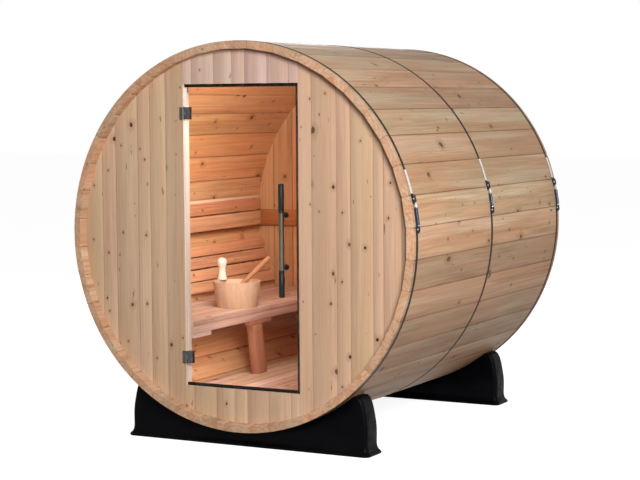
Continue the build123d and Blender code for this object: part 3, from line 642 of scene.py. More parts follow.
def apply_place() -> None:
    """Put the active object's place, turn and size into its mesh."""
    bpy.ops.object.transform_apply(location=True, rotation=True, scale=True)


def active_as(name: str) -> Object:
    """The active object, renamed together with its mesh."""
    obj = bpy.context.object
    obj.name = obj.data.name = name
    return obj


@contextmanager
def shaping(obj: Object) -> Iterator[None]:
    """Edit mode on an object, with all of it selected."""
    take(obj)
    bpy.ops.object.mode_set(mode="EDIT")
    bpy.context.tool_settings.mesh_select_mode = Element.FACE.value
    bpy.ops.mesh.select_all(action="SELECT")
    yield
    bpy.ops.object.mode_set(mode="OBJECT")


def pick(obj: Object, element: Element, test: Callable[[object], bool]) -> None:
    """Select, in edit mode, the faces or edges that pass a test."""
    bpy.context.tool_settings.mesh_select_mode = element.value
    bpy.ops.mesh.select_all(action="DESELECT")
    shape = bmesh.from_edit_mesh(obj.data)
    shape.normal_update()
    for part in shape.faces if element is Element.FACE else shape.edges:
        if test(part):
            part.select_set(True)
    shape.select_flush_mode()
    bmesh.update_edit_mesh(obj.data)


def is_sharp(edge: Edge, degrees: float = 60.0) -> bool:
    """Whether the two faces of an edge meet at more than an angle."""
    return edge.calc_face_angle(0.0) > math.radians(degrees)


def reach_of(edge: Edge) -> Vector:
    """How far an edge reaches along each axis."""
    return Vector([abs(value) for value in edge.verts[0].co - edge.verts[1].co])


def outwards() -> None:
    """Turn every face outwards, in edit mode."""
    bpy.ops.mesh.select_all(action="SELECT")
    bpy.ops.mesh.normals_make_consistent(inside=False)


def cut(point: Point, normal: Point, discard: bool = False) -> None:
    """Cut the mesh along a plane, in edit mode, and drop and close what lies beyond it if told to."""
    bpy.ops.mesh.select_all(action="SELECT")
    bpy.ops.mesh.bisect(plane_co=point, plane_no=normal, use_fill=discard, clear_outer=discard,
                        threshold=1e-6)


def trim(obj: Object, planes: Iterable[Plane]) -> None:
    """Cut away what lies beyond each plane, on the side of its normal."""
    with shaping(obj):
        for point, normal in planes:
            cut(point, normal, discard=True)


def soften(obj: Object, width: float, test: Callable[[Edge], bool] | None = None, segments: int = 2,
           profile: float = 0.5) -> None:
    """Round an object's edges, all of them or those that pass a test."""
    with shaping(obj):
        if test is not None:
            pick(obj, Element.EDGE, test)
        bpy.ops.mesh.bevel(offset=width, segments=segments, profile=profile, affect="EDGES",
                           clamp_overlap=True)


def recess(obj: Object, test: Callable[[bmesh.types.BMFace], bool], rim: float, depth: float) -> None:
    """Sink each face that passes a test, leaving a rim round it."""
    with shaping(obj):
        pick(obj, Element.FACE, test)
        bpy.ops.mesh.inset(thickness=rim, use_individual=True)
        bpy.ops.mesh.extrude_region_shrink_fatten(TRANSFORM_OT_shrink_fatten={"value": -depth})


def hollow(obj: Object, rim: float, depth: float, shrink: float = 1.0) -> None:
    """Sink the top of a turned piece, leaving a rim.

    Args:
        obj: the piece, still standing on the origin.
        rim: how wide the rim is.
        depth: how deep the hollow is.
        shrink: its size at the floor, 1 being its size at the mouth.
    """
    floor = max(v.co.z for v in obj.data.vertices) - depth
    with shaping(obj):
        pick(obj, Element.FACE, lambda f: f.normal.z > 0.9)
        bpy.ops.mesh.inset(thickness=rim)
        bpy.ops.mesh.extrude_region_move(TRANSFORM_OT_translate={"value": (0, 0, -depth)})
        bpy.ops.transform.resize(value=(shrink, shrink, 1.0), center_override=(0, 0, floor))


def block(name: str, low: Point, high: Point) -> Object:
    """A box between two corners, with its place in its mesh, to be shaped further."""
    deselect()
    low, high = Vector(low), Vector(high)
    bpy.ops.mesh.primitive_cube_add(size=1.0, location=(low + high) / 2)
    obj = active_as(name)
    obj.scale = high - low
    apply_place()
    return obj


def turned(name: str, steps: Sequence[Span], sides: int = 24) -> Object:
    """A turned piece about the Z axis, extruded and resized from a disc.

    Args:
        name: the object's name.
        steps: (radius, height) of each ring, from the foot up.
        sides: corners of each ring.

    Returns:
        The object, standing on the origin.
    """
    deselect()
    radius, height = steps[0]
    bpy.ops.mesh.primitive_circle_add(vertices=sides, radius=radius, fill_type="NGON",
                                      location=(0, 0, height))
    obj = active_as(name)
    apply_place()
    with shaping(obj):
        for next_radius, next_height in steps[1:]:
            bpy.ops.mesh.extrude_region_move(TRANSFORM_OT_translate={"value": (0, 0, next_height - height)})
            grow = next_radius / radius
            bpy.ops.transform.resize(value=(grow, grow, 1.0), center_override=(0, 0, next_height))
            radius, height = next_radius, next_height
        outwards()
    return obj


def place(obj: Object, matrix: Matrix) -> Object:
    """Move an object by a matrix and put the move into its mesh."""
    take(obj)
    obj.matrix_world = matrix
    apply_place()
    return obj


def pointing(origin: Point, direction: Point) -> Matrix:
    """Matrix that stands the Z axis along a direction at an origin."""
    return Matrix.Translation(origin) @ Vector(direction).to_track_quat("Z", "Y").to_matrix().to_4x4()


def copy_of(obj: Object, name: str) -> Object:
    """A second object with its own mesh."""
    made = obj.copy()
    made.data = obj.data.copy()
    made.name = made.data.name = name
    bpy.context.scene.collection.objects.link(made)
    return made


def joined(name: str, parts: Sequence[Object]) -> Object:
    """Several objects as one."""
    take(parts[0])
    for part in parts[1:]:
        part.select_set(True)
    if len(parts) > 1:
        bpy.ops.object.join()
    return active_as(name)


def eased_copy(node: str, name: str, width: float, sharp: float = 30.0, segments: int = 2) -> Object:
    """A copy of a CAD node, merged, with its sharp edges rounded.

    Args:
        node: the CAD node.
        name: the new object's name.
        width: how far the edges are rounded.
        sharp: the least angle in degrees between the faces of an edge that is rounded.
        segments: faces across each rounded edge.

    Returns:
        The new object.
    """
    made = copy_of(bpy.data.objects[node], name)
    made.parent = None
    made.matrix_world = Matrix.Identity(4)
    for key in list(made.keys()):
        if key.startswith("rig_"):
            del made[key]
    made.hide_render = made.hide_viewport = False
    with shaping(made):
        bpy.ops.mesh.remove_doubles(threshold=1e-6)
        bpy.ops.mesh.dissolve_limited(angle_limit=math.radians(0.5))
        pick(made, Element.EDGE, lambda e: is_sharp(e, sharp))
        bpy.ops.mesh.bevel(offset=width, segments=segments, affect="EDGES", clamp_overlap=True)
    return made


# ---- boards and finished pieces


def dress_board(obj: Object, along: Axis, face: Axis, seed: str, spread: float = 1.0,
                lift: float = 0.0) -> None:
    """Give a board its grain coordinates, its own tone, hue and knots, and its distance from the seams.

    Args:
        obj: the board, before it is turned.
        along: the direction of its grain.
        face: the direction that its broad face looks in.
        seed: what its random values are drawn from.
        spread: how much of its tone's difference from the middle it keeps.
        lift: painted light added to its tone, painted shade where it is negative, 1 being the whole range of
            the finish.
    """
    draw = random.Random(seed)
    mesh = obj.data
    count = len(mesh.vertices)
    at = np.empty(count * 3, np.float32)
    mesh.vertices.foreach_get("co", at)
    at = at.reshape(-1, 3)
    across, depth = at[:, 3 - along.value - face.value], at[:, face.value]
    middle = (across.max() + across.min()) / 2
    half = max((across.max() - across.min()) / 2, 1e-4)
    grain = np.stack([
        at[:, along.value] + draw.uniform(0, 60),
        across - middle + draw.uniform(-0.09, 0.09),
        depth - depth.mean() + draw.choice((-1, 1)) * draw.uniform(0.02, 0.12),
    ], axis=1)
    tone = 0.5 + (draw.random() - 0.5) * spread + lift
    own = np.tile([tone, draw.random(), draw.uniform(0.2, 1.0)], (count, 1))
    for label, kind, key, values in (
        ("Grain", "FLOAT_VECTOR", "vector", grain),
        ("Board", "FLOAT_VECTOR", "vector", own),
        ("Seam", "FLOAT", "value", (across - middle) / half),
    ):
        layer = mesh.attributes.get(label) or mesh.attributes.new(label, kind, "POINT")
        layer.data.foreach_set(key, values.astype(np.float32).ravel())


def board(name: str, low: Point, high: Point, along: Axis, face: Axis, edge: float = EASED) -> Object:
    """One planed board with eased edges and its own grain.

    Args:
        name: the object's name, which also seeds its grain.
        low: its lowest corner.
        high: its highest corner.
        along: the direction of its grain.
        face: the direction that its broad face looks in.
        edge: how far its edges are eased.

    Returns:
        The object.
    """
    obj = block(name, low, high)
    soften(obj, edge)
    dress_board(obj, along, face, name)
    return obj


def row(label: str, spans: Iterable[tuple[int, float, float]], low: Vector, high: Vector, along: Axis,
        edge: float = EASED, gap: float = CUT_CLEARANCE) -> list[Object]:
    """Boards side by side across X.

    Args:
        label: the name that each board's number is added to.
        spans: (number, left side, right side) of each board.
        low: a corner with their lowest Y and Z.
        high: a corner with their highest Y and Z.
        along: the direction of their grain.
        edge: how far their edges are eased.
        gap: what each board leaves free on either side.

    Returns:
        The boards.
    """
    face = Axis.Y if along is Axis.Z else Axis.Z
    return [
        board(f"{label} {k}", (left + gap, low.y, low.z), (right - gap, high.y, high.z), along, face, edge)
        for k, left, right in spans
    ]


def assign(obj: Object, finishes: Sequence[Finish], choose: Choice | None) -> Object:
    """Give an object its materials, and each face the one with the chosen index, or the first one."""
    marks = [choose(face) if choose else 0 for face in obj.data.polygons]
    obj.data.materials.clear()
    for one in finishes:
        obj.data.materials.append(one.material())
    for face, mark in zip(obj.data.polygons, marks):
        face.material_index = mark
    return obj


def finish_piece(obj: Object, slot: str, node: str | None, *finishes: Finish, choose: Choice | None = None,
                 body: Body = Body.CABIN, smooth: float = 30.0) -> None:
    """Give a finished piece its materials and body, and hide the CAD node that it stands for.

    Args:
        obj: the piece.
        slot: the name of its material slot; not used.
        node: the CAD node that it stands for, if any.
        finishes: its finishes.
        choose: the index of a face's finish.
        body: the CAD body that it rides on.
        smooth: the angle in degrees under which edges are shaded smooth.
    """
    take(obj)
    assign(obj, finishes, choose)
    bpy.ops.object.shade_smooth_by_angle(angle=math.radians(smooth))
    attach(obj, body.value)
    if node:
        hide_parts(node)
    LOG.info("%s: %d faces, rides on %s", obj.name, len(obj.data.polygons), body.value)


def finish_node(node: str, finish: Finish) -> None:
    """Give a CAD node that stays a finish in each of its material slots."""
    obj = bpy.data.objects[node]
    if not obj.material_slots:
        obj.data.materials.append(finish.material())
    for one in obj.material_slots:
        one.material = finish.material()
    LOG.info("%s: stays as it is, in %s", node, finish.name)


def boxed_board(node: str, name: str, along: Axis, face: Axis, slot: str, *finishes: Finish,
                edge: float = EASED, planes: Sequence[Plane] = (), choose: Choice | None = None) -> None:
    """One board in the box of a CAD node, trimmed and finished.

    Args:
        node: the CAD node that it stands for.
        name: the board's name, which also seeds its grain.
        along: the direction of its grain.
        face: the direction that its broad face looks in.
        slot: the name of its material slot.
        finishes: its finishes.
        edge: how far its edges are eased.
        planes: where it is cut off.
        choose: the index of a face's finish.
    """
    piece = board(name, *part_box(node), along, face, edge)
    if planes:
        trim(piece, planes)
    finish_piece(piece, slot, node, *finishes, choose=choose)


# ---- the barrel


@dataclass
class Barrel:
    """The staves, and the barrel's own sizes that other pieces are cut to."""

    thickness: float = 0.038
    staves: int = 40
    panels: int = 10
    joint: float = 0.0004
    outer_groove: float = 0.0016
    inner_groove: float = 0.0042
    end_edge: float = 0.0012
    facets: int = 6
    # painted shade: how much darker the staves are made at the top and the bottom
    weathering: float = 0.8
    low: Vector = field(init=False)
    high: Vector = field(init=False)

    def __post_init__(self) -> None:
        """Read the barrel's box from the CAD nodes."""
        boxes = [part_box(self.node(k)) for k in range(self.panels)]
        self.low = Vector([min(b[0][a] for b in boxes) for a in range(3)])
        self.high = Vector([max(b[1][a] for b in boxes) for a in range(3)])

    @staticmethod
    def node(panel: int) -> str:
        """Name of one panel's CAD node."""
        return f"barrel_staves_{panel + 1:02d}"

    @property
    def outer(self) -> float:
        """Distance from the axis to the rounded backs of the staves."""
        return (self.high.x - self.low.x) / 2

    @property
    def inner(self) -> float:
        """Distance from the axis to the inner flats."""
        return self.outer - self.thickness

    @property
    def axis_z(self) -> float:
        """Height of the barrel's axis."""
        return (self.low.z + self.high.z) / 2

    @property
    def step(self) -> float:
        """Angle from one stave to the next."""
        return math.tau / self.staves

    @property
    def chamber(self) -> Span:
        """The outer faces of the front and the back wall, along the barrel."""
        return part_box("front_wall_left")[0].y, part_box("back_wall")[1].y

    def flats(self, clearance: float = CUT_CLEARANCE,
              keep: Callable[[Vector], bool] = lambda normal: True) -> list[Plane]:
        """Planes a clearance inside the inner flats, looking outwards, for the normals that are kept."""
        normals = (Vector((math.cos(k * self.step), 0.0, math.sin(k * self.step)))
                   for k in range(self.staves))
        return [(UP * self.axis_z + n * (self.inner - clearance), n) for n in normals if keep(n)]

    def around(self, turn: float) -> Matrix:
        """Turn about the barrel's axis, counter-clockwise seen from the front."""
        centre = Matrix.Translation(UP * self.axis_z)
        return centre @ Matrix.Rotation(-turn, 4, "Y") @ centre.inverted()

    def one_stave(self) -> Object:
        """The stave at the top of the barrel: flat inside, rounded outside, with eased edges."""
        half_out = self.outer * math.sin(self.step / 2) - self.joint / 2
        half_in = self.inner * math.tan(self.step / 2) - self.joint / 2
        shoulder = math.sqrt(self.outer**2 - half_out**2)
        middle = self.axis_z + (self.inner + shoulder) / 2
        inside = self.axis_z + self.inner
        obj = block("stave", (-half_out, self.low.y, inside), (half_out, self.high.y, self.axis_z + shoulder))
        with shaping(obj):
            pick(obj, Element.FACE, lambda f: f.normal.z < -0.5)
            bpy.ops.transform.resize(value=(half_in / half_out, 1.0, 1.0), center_override=(0.0, 0.0, inside))
            lines = [half_out * (2 * k / self.facets - 1) for k in range(1, self.facets)]
            for at in lines:
                cut((at, 0.0, 0.0), EAST)
            for at in lines:
                pick(obj, Element.EDGE,
                     lambda e: all(abs(v.co.x - at) < 1e-5 and v.co.z > middle for v in e.verts))
                bpy.ops.transform.translate(value=(0.0, 0.0, math.sqrt(self.outer**2 - at**2) - shoulder))
        for width, above in ((self.outer_groove, True), (self.inner_groove, False)):
            soften(obj, width, lambda e: reach_of(e).y > 0.5 and (e.verts[0].co.z > middle) is above
                   and is_sharp(e, 50.0))
        soften(obj, self.end_edge, is_sharp, 1)
        with shaping(obj):
            for y in self.chamber:
                cut((0.0, y, 0.0), (0.0, 1.0, 0.0))
        return obj

    def build(self) -> None:
        """All staves, joined by CAD panel, with painted shade that makes them darker towards the top and the
        bottom.
        """
        pattern = self.one_stave()
        front, back = self.chamber
        each = self.staves // self.panels

        def choose(face: Polygon) -> int:
            """Outside, inside or end grain, by the way a face looks; the inner faces in the end recesses take
            end grain as painted light.
            """
            if abs(face.normal.y) > 0.6:
                return 2
            away = face.center - UP * self.axis_z
            away.y = 0.0
            if face.normal.dot(away.normalized()) >= -0.3:
                return 0
            # painted light: inner faces outside the chamber, in the end recesses, take the paler end-grain
            # finish
            return 1 if front < face.center.y < back else 2

        for panel in range(self.panels):
            parts = []
            for index in range(panel * each, (panel + 1) * each):
                stave = copy_of(pattern, f"stave_{index:02d}")
                # painted shade: a stave's tone is lowered the nearer it is to the top or the bottom
                dark = self.weathering * math.sin(index * self.step + math.pi / 2) ** 4
                dress_board(stave, Axis.Y, Axis.Z, f"stave {index}", lift=-dark)
                parts.append(place(stave, self.around(index * self.step)))
            finish_piece(joined(f"staves_{panel + 1:02d}", parts), "stave_wood", self.node(panel),
                         STAVE_OUTSIDE, STAVE_INSIDE, END_GRAIN, choose=choose)
        bpy.data.objects.remove(pattern)


# ---- end walls, doorway and floor


@dataclass
class FrontWall:
    """The front wall's upright boards, cut round the doorway."""

    barrel: Barrel
    seams: tuple[float, ...] = (
        -0.777, -0.698, -0.570, -0.500, -0.410, -0.262, -0.141, -0.041, 0.028, 0.147, 0.262, 0.378, 0.506,
        0.576, 0.691, 0.742, 0.832,
    )
    spread: float = 0.5
    # painted light: how much paler the boards are made towards the right edge
    lift: float = 0.30
    sliver: float = 0.0005
    near: float = 0.001

    def build(self) -> None:
        """Boards for the four CAD nodes of the wall, with painted light that makes them paler towards the
        right.
        """
        barrel = self.barrel
        door_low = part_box("front_wall_under_door")[1].z
        lintel_low, lintel_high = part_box("front_wall_over_door")
        door_high, side = lintel_low.z, lintel_high.x
        wall_low, wall_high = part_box("front_wall_left")
        reach = barrel.inner / math.cos(barrel.step / 2)
        low = Vector((0.0, wall_low.y, barrel.axis_z - reach))
        high = Vector((0.0, wall_high.y, barrel.axis_z + reach))
        edges = (-reach, *self.seams, reach)
        jambs = [(-EAST * side, -EAST), (EAST * side, EAST)]
        regions = (
            ("left", -reach, -side, [(-EAST * side, EAST)]),
            ("right", side, reach, [(EAST * side, -EAST)]),
            ("over_door", -side, side, [*jambs, (UP * door_high, -UP)]),
            ("under_door", -side, side, [*jambs, (UP * door_low, UP)]),
        )

        def choose(face: Polygon) -> int:
            """Outside, inside, or the pale edges of the doorway."""
            if abs(face.normal.y) > 0.5:
                return 1 if face.normal.y > 0.0 else 0
            x, z = abs(face.center.x), face.center.z
            on_side = abs(x - side) < self.near and door_low < z < door_high
            on_end = x < side and min(abs(z - door_low), abs(z - door_high)) < self.near
            return 2 if on_side or on_end else 0

        for label, x_low, x_high, cuts in regions:
            spans = [(k, *span) for k, span in enumerate(zip(edges, edges[1:]))
                     if span[1] > x_low + self.sliver and span[0] < x_high - self.sliver]
            parts = row("front board", spans, low, high, Axis.Z)
            for part, (k, left, right) in zip(parts, spans):
                # painted light: a board's tone rises the further right it stands
                lift = self.lift * (left + right) / 2 / reach
                dress_board(part, Axis.Z, Axis.Y, f"front board {k}", self.spread, lift)
            piece = joined(f"front_boards_{label}", parts)
            trim(piece, cuts + barrel.flats())
            finish_piece(piece, "wall_wood", f"front_wall_{label}",
                         LINTEL_WOOD if label == "over_door" else WALL_OUTSIDE, WALL_INSIDE, JAMB,
                         choose=choose)


@dataclass
class BackWall:
    """The back wall's upright boards and the rail across it inside."""

    barrel: Barrel
    boards: int = 16
    uneven: float = 0.014
    rail_edge: float = 0.003

    def build(self) -> None:
        """The wall and its rail."""
        low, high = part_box("back_wall")
        width = (high.x - low.x) / self.boards
        draw = random.Random("back wall seams")
        seams = [low.x + k * width + draw.uniform(-self.uneven, self.uneven) * (0 < k < self.boards)
                 for k in range(self.boards + 1)]
        spans = [(k, *span) for k, span in enumerate(zip(seams, seams[1:]))]
        wall = joined("back_boards", row("back board", spans, low, high, Axis.Z))
        trim(wall, self.barrel.flats())
        finish_piece(wall, "inner_wood", "back_wall", WALL_OUTSIDE, WALL_INSIDE,
                     choose=lambda face: 1 if face.normal.y < -0.3 else 0)
        boxed_board("back_wall_rail", "back_rail", Axis.X, Axis.Y, "inner_wood", RAIL_WOOD,
                    edge=self.rail_edge, planes=self.barrel.flats())


@dataclass
class Doorway:
    """The frame behind the front wall, and the black seal in it."""

    seal_edge: float = 0.0015
    seal_depth: float = 0.005
    closing_side: float = 0.2
    lip: float = 0.004

    def build(self) -> None:
        """Two posts, a head, a sill and the seal, whose closing side has a wider lip."""
        for name, along in (("post_left", Axis.Z), ("post_right", Axis.Z), ("head", Axis.X),
                            ("sill", Axis.X)):
            boxed_board(f"door_{name}", f"frame_{name}", along, Axis.Y, "frame_wood", WALL_INSIDE, JAMB,
                        choose=lambda face: 0 if face.normal.y > 0.5 else 1)
        sealed_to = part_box("door_seal")[1].x - self.seal_depth
        seal = eased_copy("door_seal", "seal_strip", self.seal_edge)
        with shaping(seal):
            pick(seal, Element.FACE,
                 lambda f: f.normal.x < -0.2 and self.closing_side < f.calc_center_median().x < sealed_to)
            bpy.ops.transform.translate(value=(-self.lip, 0.0, 0.0))
        finish_piece(seal, "black_rubber", "door_seal", SEAL_RUBBER)


@dataclass
class Floor:
    """The floor's planks and the joists under them."""

    barrel: Barrel
    planks: int = 11
    gap: float = 0.004
    edge: float = 0.0025

    def build(self) -> None:
        """Planks cut to the barrel at both sides, and joists."""
        low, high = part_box("floor")
        width = (high.x - low.x) / self.planks
        spans = [(k, low.x + k * width, low.x + (k + 1) * width) for k in range(self.planks)]
        floor = joined("floor_planks", row("floor plank", spans, low, high, Axis.Y, self.edge, self.gap / 2))
        trim(floor, self.barrel.flats(BROAD_CLEARANCE, lambda normal: normal.z < 0.1))
        finish_piece(floor, "inner_wood", "floor", FLOOR_WOOD)
        finish_node("floor_joists", INNER_TRIM)


# ---- bench, backrests, bucket


@dataclass
class Bench:
    """The bench: seat boards, apron, cleats, bearers and its leaning leg."""

    barrel: Barrel
    seat_boards: int = 4
    seat_gap: float = 0.010
    fine_edge: float = 0.0016
    cleat: float = 0.166
    cleat_edge: float = 0.003
    leg_edge: float = 0.004
    lean: float = 0.048

    def build(self) -> None:
        """All the bench's pieces, the seat cut to the barrel."""
        low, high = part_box("bench_seat_boards")
        pitch = (high.x - low.x + self.seat_gap) / self.seat_boards
        spans = [(k, high.x - (k + 1) * pitch + self.seat_gap, high.x - k * pitch)
                 for k in range(self.seat_boards)]
        seat = joined("seat_boards", row("seat board", spans, low, high, Axis.Y, self.fine_edge, 0.0))
        flats = self.barrel.flats(BROAD_CLEARANCE, lambda normal: normal.x < 0 and normal.z < 0.1)
        trim(seat, flats)
        finish_piece(seat, "bench_wood", "bench_seat_boards", BENCH_WOOD)
        for node, name, edge, wood, planes in (
            ("bench_apron", "seat_apron", self.fine_edge, APRON_WOOD_PAINTED_SHADE, ()),
            ("bench_leg_bearer", "leg_bearer", EASED, LEG_WOOD, ()),
            ("bench_wall_bearer", "wall_bearer", EASED, BENCH_WOOD, flats),
        ):
            boxed_board(node, name, Axis.Y, Axis.X, "bench_wood", wood, edge=edge, planes=planes)
        self.cleats()
        self.leg()

    def cleats(self) -> None:
        """The cleats under the two ends of the apron."""
        low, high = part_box("bench_end_cleats")
        parts = [
            board(f"end cleat {k}", (low.x, y, low.z), (high.x, y + self.cleat, high.z), Axis.Y, Axis.X,
                  self.cleat_edge)
            for k, y in enumerate((low.y, high.y - self.cleat))
        ]
        finish_piece(joined("end_cleats", parts), "bench_wood", "bench_end_cleats", BENCH_WOOD)

    def leg(self) -> None:
        """The leg, upright first and then leaned by moving its foot."""
        low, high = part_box("bench_leg")
        piece = board("leaning_leg", low, (high.x, high.y - self.lean, high.z), Axis.Z, Axis.X,
                      self.leg_edge)
        middle = (low.z + high.z) / 2
        with shaping(piece):
            pick(piece, Element.FACE, lambda f: all(v.co.z < middle for v in f.verts))
            bpy.ops.transform.translate(value=(0.0, self.lean, 0.0))
        finish_piece(piece, "bench_wood", "bench_leg", LEG_WOOD)


@dataclass
class Backrests:
    """Two upper backrest boards, four lower slats on the staves, and their ribs."""

    barrel: Barrel
    slat_turns: tuple[tuple[int, int], ...] = ((1, 1), (2, -1), (2, 1), (3, -1))
    slat_width: float = 0.060
    slat_thickness: float = 0.018
    rib_thickness: float = 0.022
    upper_gap: float = 0.007
    top_chamfer: float = 0.012
    chamfer_zone: float = 0.02
    slat_edge: float = 0.003
    near: float = 0.001

    def build(self) -> None:
        """Upper boards, lower slats and ribs."""
        low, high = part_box("upper_backrest_boards")
        tall = (high.z - low.z - self.upper_gap) / 2
        chamfer_foot = high.z - self.chamfer_zone
        uppers = []

        def is_chamfered(edge: Edge) -> bool:
            """The upper edge on the side of the room."""
            return all(v.co.x > high.x - self.near and v.co.z > high.z - self.near for v in edge.verts)

        for k in range(2):
            foot = low.z + k * (tall + self.upper_gap)
            one = block(f"upper back {k}", (low.x, low.y, foot), (high.x, high.y, foot + tall))
            if k:
                soften(one, self.top_chamfer, is_chamfered, 1)
            soften(one, EASED)
            dress_board(one, Axis.Y, Axis.X, one.name)
            uppers.append(one)
        # the upward faces at the top get the paler copy, as painted light
        finish_piece(joined("upper_back_boards", uppers), "inner_wood", "upper_backrest_boards",
                     SLAT_WOOD, SLAT_TOP_PAINTED_LIGHT,
                     choose=lambda face: 1 if face.normal.z > 0.3 and face.center.z > chamfer_foot else 0)
        self.slats()
        finish_node("backrest_ribs", INNER_TRIM)

    def slats(self) -> None:
        """Lower slats, modelled on top of the barrel and turned to their flats."""
        barrel = self.barrel
        low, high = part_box("lower_backrest_slats")
        near = barrel.inner - self.rib_thickness
        pitch = near * math.tan(barrel.step / 2) / 2
        foot = barrel.axis_z + near - self.slat_thickness
        parts = []
        for k, (flat, way) in enumerate(self.slat_turns):
            side = way * pitch
            slat = board(
                f"lower slat {k}", (-self.slat_width / 2 - side, low.y, foot),
                (self.slat_width / 2 - side, high.y, foot + self.slat_thickness),
                Axis.Y, Axis.Z, self.slat_edge,
            )
            parts.append(place(slat, barrel.around(math.pi / 2 + flat * barrel.step)))
        finish_piece(joined("lower_back_slats", parts), "inner_wood", "lower_backrest_slats", SLAT_WOOD)


@dataclass
class BucketSet:
    """The bucket on the bench, its turned grip and the ladle in it."""

    wall: float = 0.012
    floor: float = 0.014
    draft: float = 0.018
    sides: int = 32
    groove: float = 0.0009
    groove_profile: float = 0.08
    grip_steps: tuple[Span, ...] = (
        (0.0235, 0.0), (0.025, 0.002), (0.0246, 0.007), (0.0225, 0.015), (0.0202, 0.026), (0.0186, 0.038),
        (0.0178, 0.050), (0.0180, 0.060), (0.0202, 0.069), (0.0232, 0.078), (0.0249, 0.089),
        (0.0238, 0.099), (0.0195, 0.1075), (0.0125, 0.1128), (0.0040, 0.1149),
    )
    cup_steps: tuple[Span, ...] = ((0.016, 0.0), (0.0215, 0.003), (0.024, 0.010), (0.024, 0.036))
    cup_wall: float = 0.004
    cup_depth: float = 0.030
    cup_taper: float = 0.75
    stick_radius: float = 0.008
    stick_spare: float = 0.003
    lean: Span = (0.5, 1.4)

    def build(self) -> None:
        """Bucket, grip and ladle."""
        low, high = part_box("bucket")
        radius = (high.x - low.x) / 2
        height = high.z - low.z
        foot = radius - self.draft
        tub = turned("tub", [(foot, 0.0), (radius, height)], self.sides)
        hollow(tub, self.wall, height - self.floor, (foot - self.wall) / (radius - self.wall))
        turn = math.tau / self.sides

        def is_joint(edge: Edge) -> bool:
            """Every second upright edge on the outside is a joint between two staves."""
            a, b = (v.co for v in edge.verts)
            if abs(a.z - b.z) < height / 2 or (a.xy.length + b.xy.length) / 2 < foot + 0.002:
                return False
            return round(math.atan2(a.y, a.x) / turn) % 2 == 0

        soften(tub, self.groove, is_joint, profile=self.groove_profile)
        soften(tub, EASED, lambda e: is_sharp(e) and reach_of(e).z < 1e-4)
        self.stand(tub, low, high)
        dress_board(tub, Axis.Z, Axis.Y, "tub")
        finish_piece(tub, "bucket_wood", "bucket", BUCKET_WOOD, smooth=25.0)
        grip = self.stand(turned("turned_grip", self.grip_steps, 28), *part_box("bucket_grip"))
        dress_board(grip, Axis.Z, Axis.Y, "grip")
        finish_piece(grip, "bucket_wood", "bucket_grip", GRIP_WOOD, smooth=50.0)
        self.ladle()

    @staticmethod
    def stand(obj: Object, low: Vector, high: Vector) -> Object:
        """Stand a turned piece in the middle of a box, on its floor."""
        centre = (low + high) / 2
        return place(obj, Matrix.Translation((centre.x, centre.y, low.z)))

    def ladle(self) -> None:
        """The ladle: a hollow cup on the bucket's floor and a stick over the rim."""
        low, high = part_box("ladle")
        cup_radius, cup_height = self.cup_steps[-1]
        head = low + Vector((cup_radius, cup_radius, 0.0))
        cup = turned("cup", self.cup_steps)
        hollow(cup, self.cup_wall, self.cup_depth, self.cup_taper)
        place(cup, Matrix.Translation(head))
        direction = Vector((*self.lean, 1.0))
        start = head + UP * cup_height / 2
        length = (high.z - start.z - self.stick_spare) * direction.length
        steps = ((0.8, 0.0), (1.0, 0.004), (1.3, length * 0.35), (1.6, length * 0.6), (1.7, length - 0.06),
                 (1.65, length - 0.02), (1.4, length - 0.006), (0.7, length))
        stick = turned("stick", [(self.stick_radius * wide, at) for wide, at in steps], 14)
        place(stick, pointing(start, direction))
        dress_board(stick, Axis.Y, Axis.Z, "ladle stick")
        dress_board(cup, Axis.X, Axis.Z, "ladle cup")
        finish_piece(joined("ladle_and_cup", [cup, stick]), "bucket_wood", "ladle", LADLE_WOOD, smooth=40.0)


# ---- bands, cradles, door


def in_steel(obj: Object, steel: HardFinish) -> Object:
    """Put the whole of an object in one of the tensioners' steels, with slots for all of them."""
    return assign(obj, STEELS, lambda face: STEELS.index(steel))


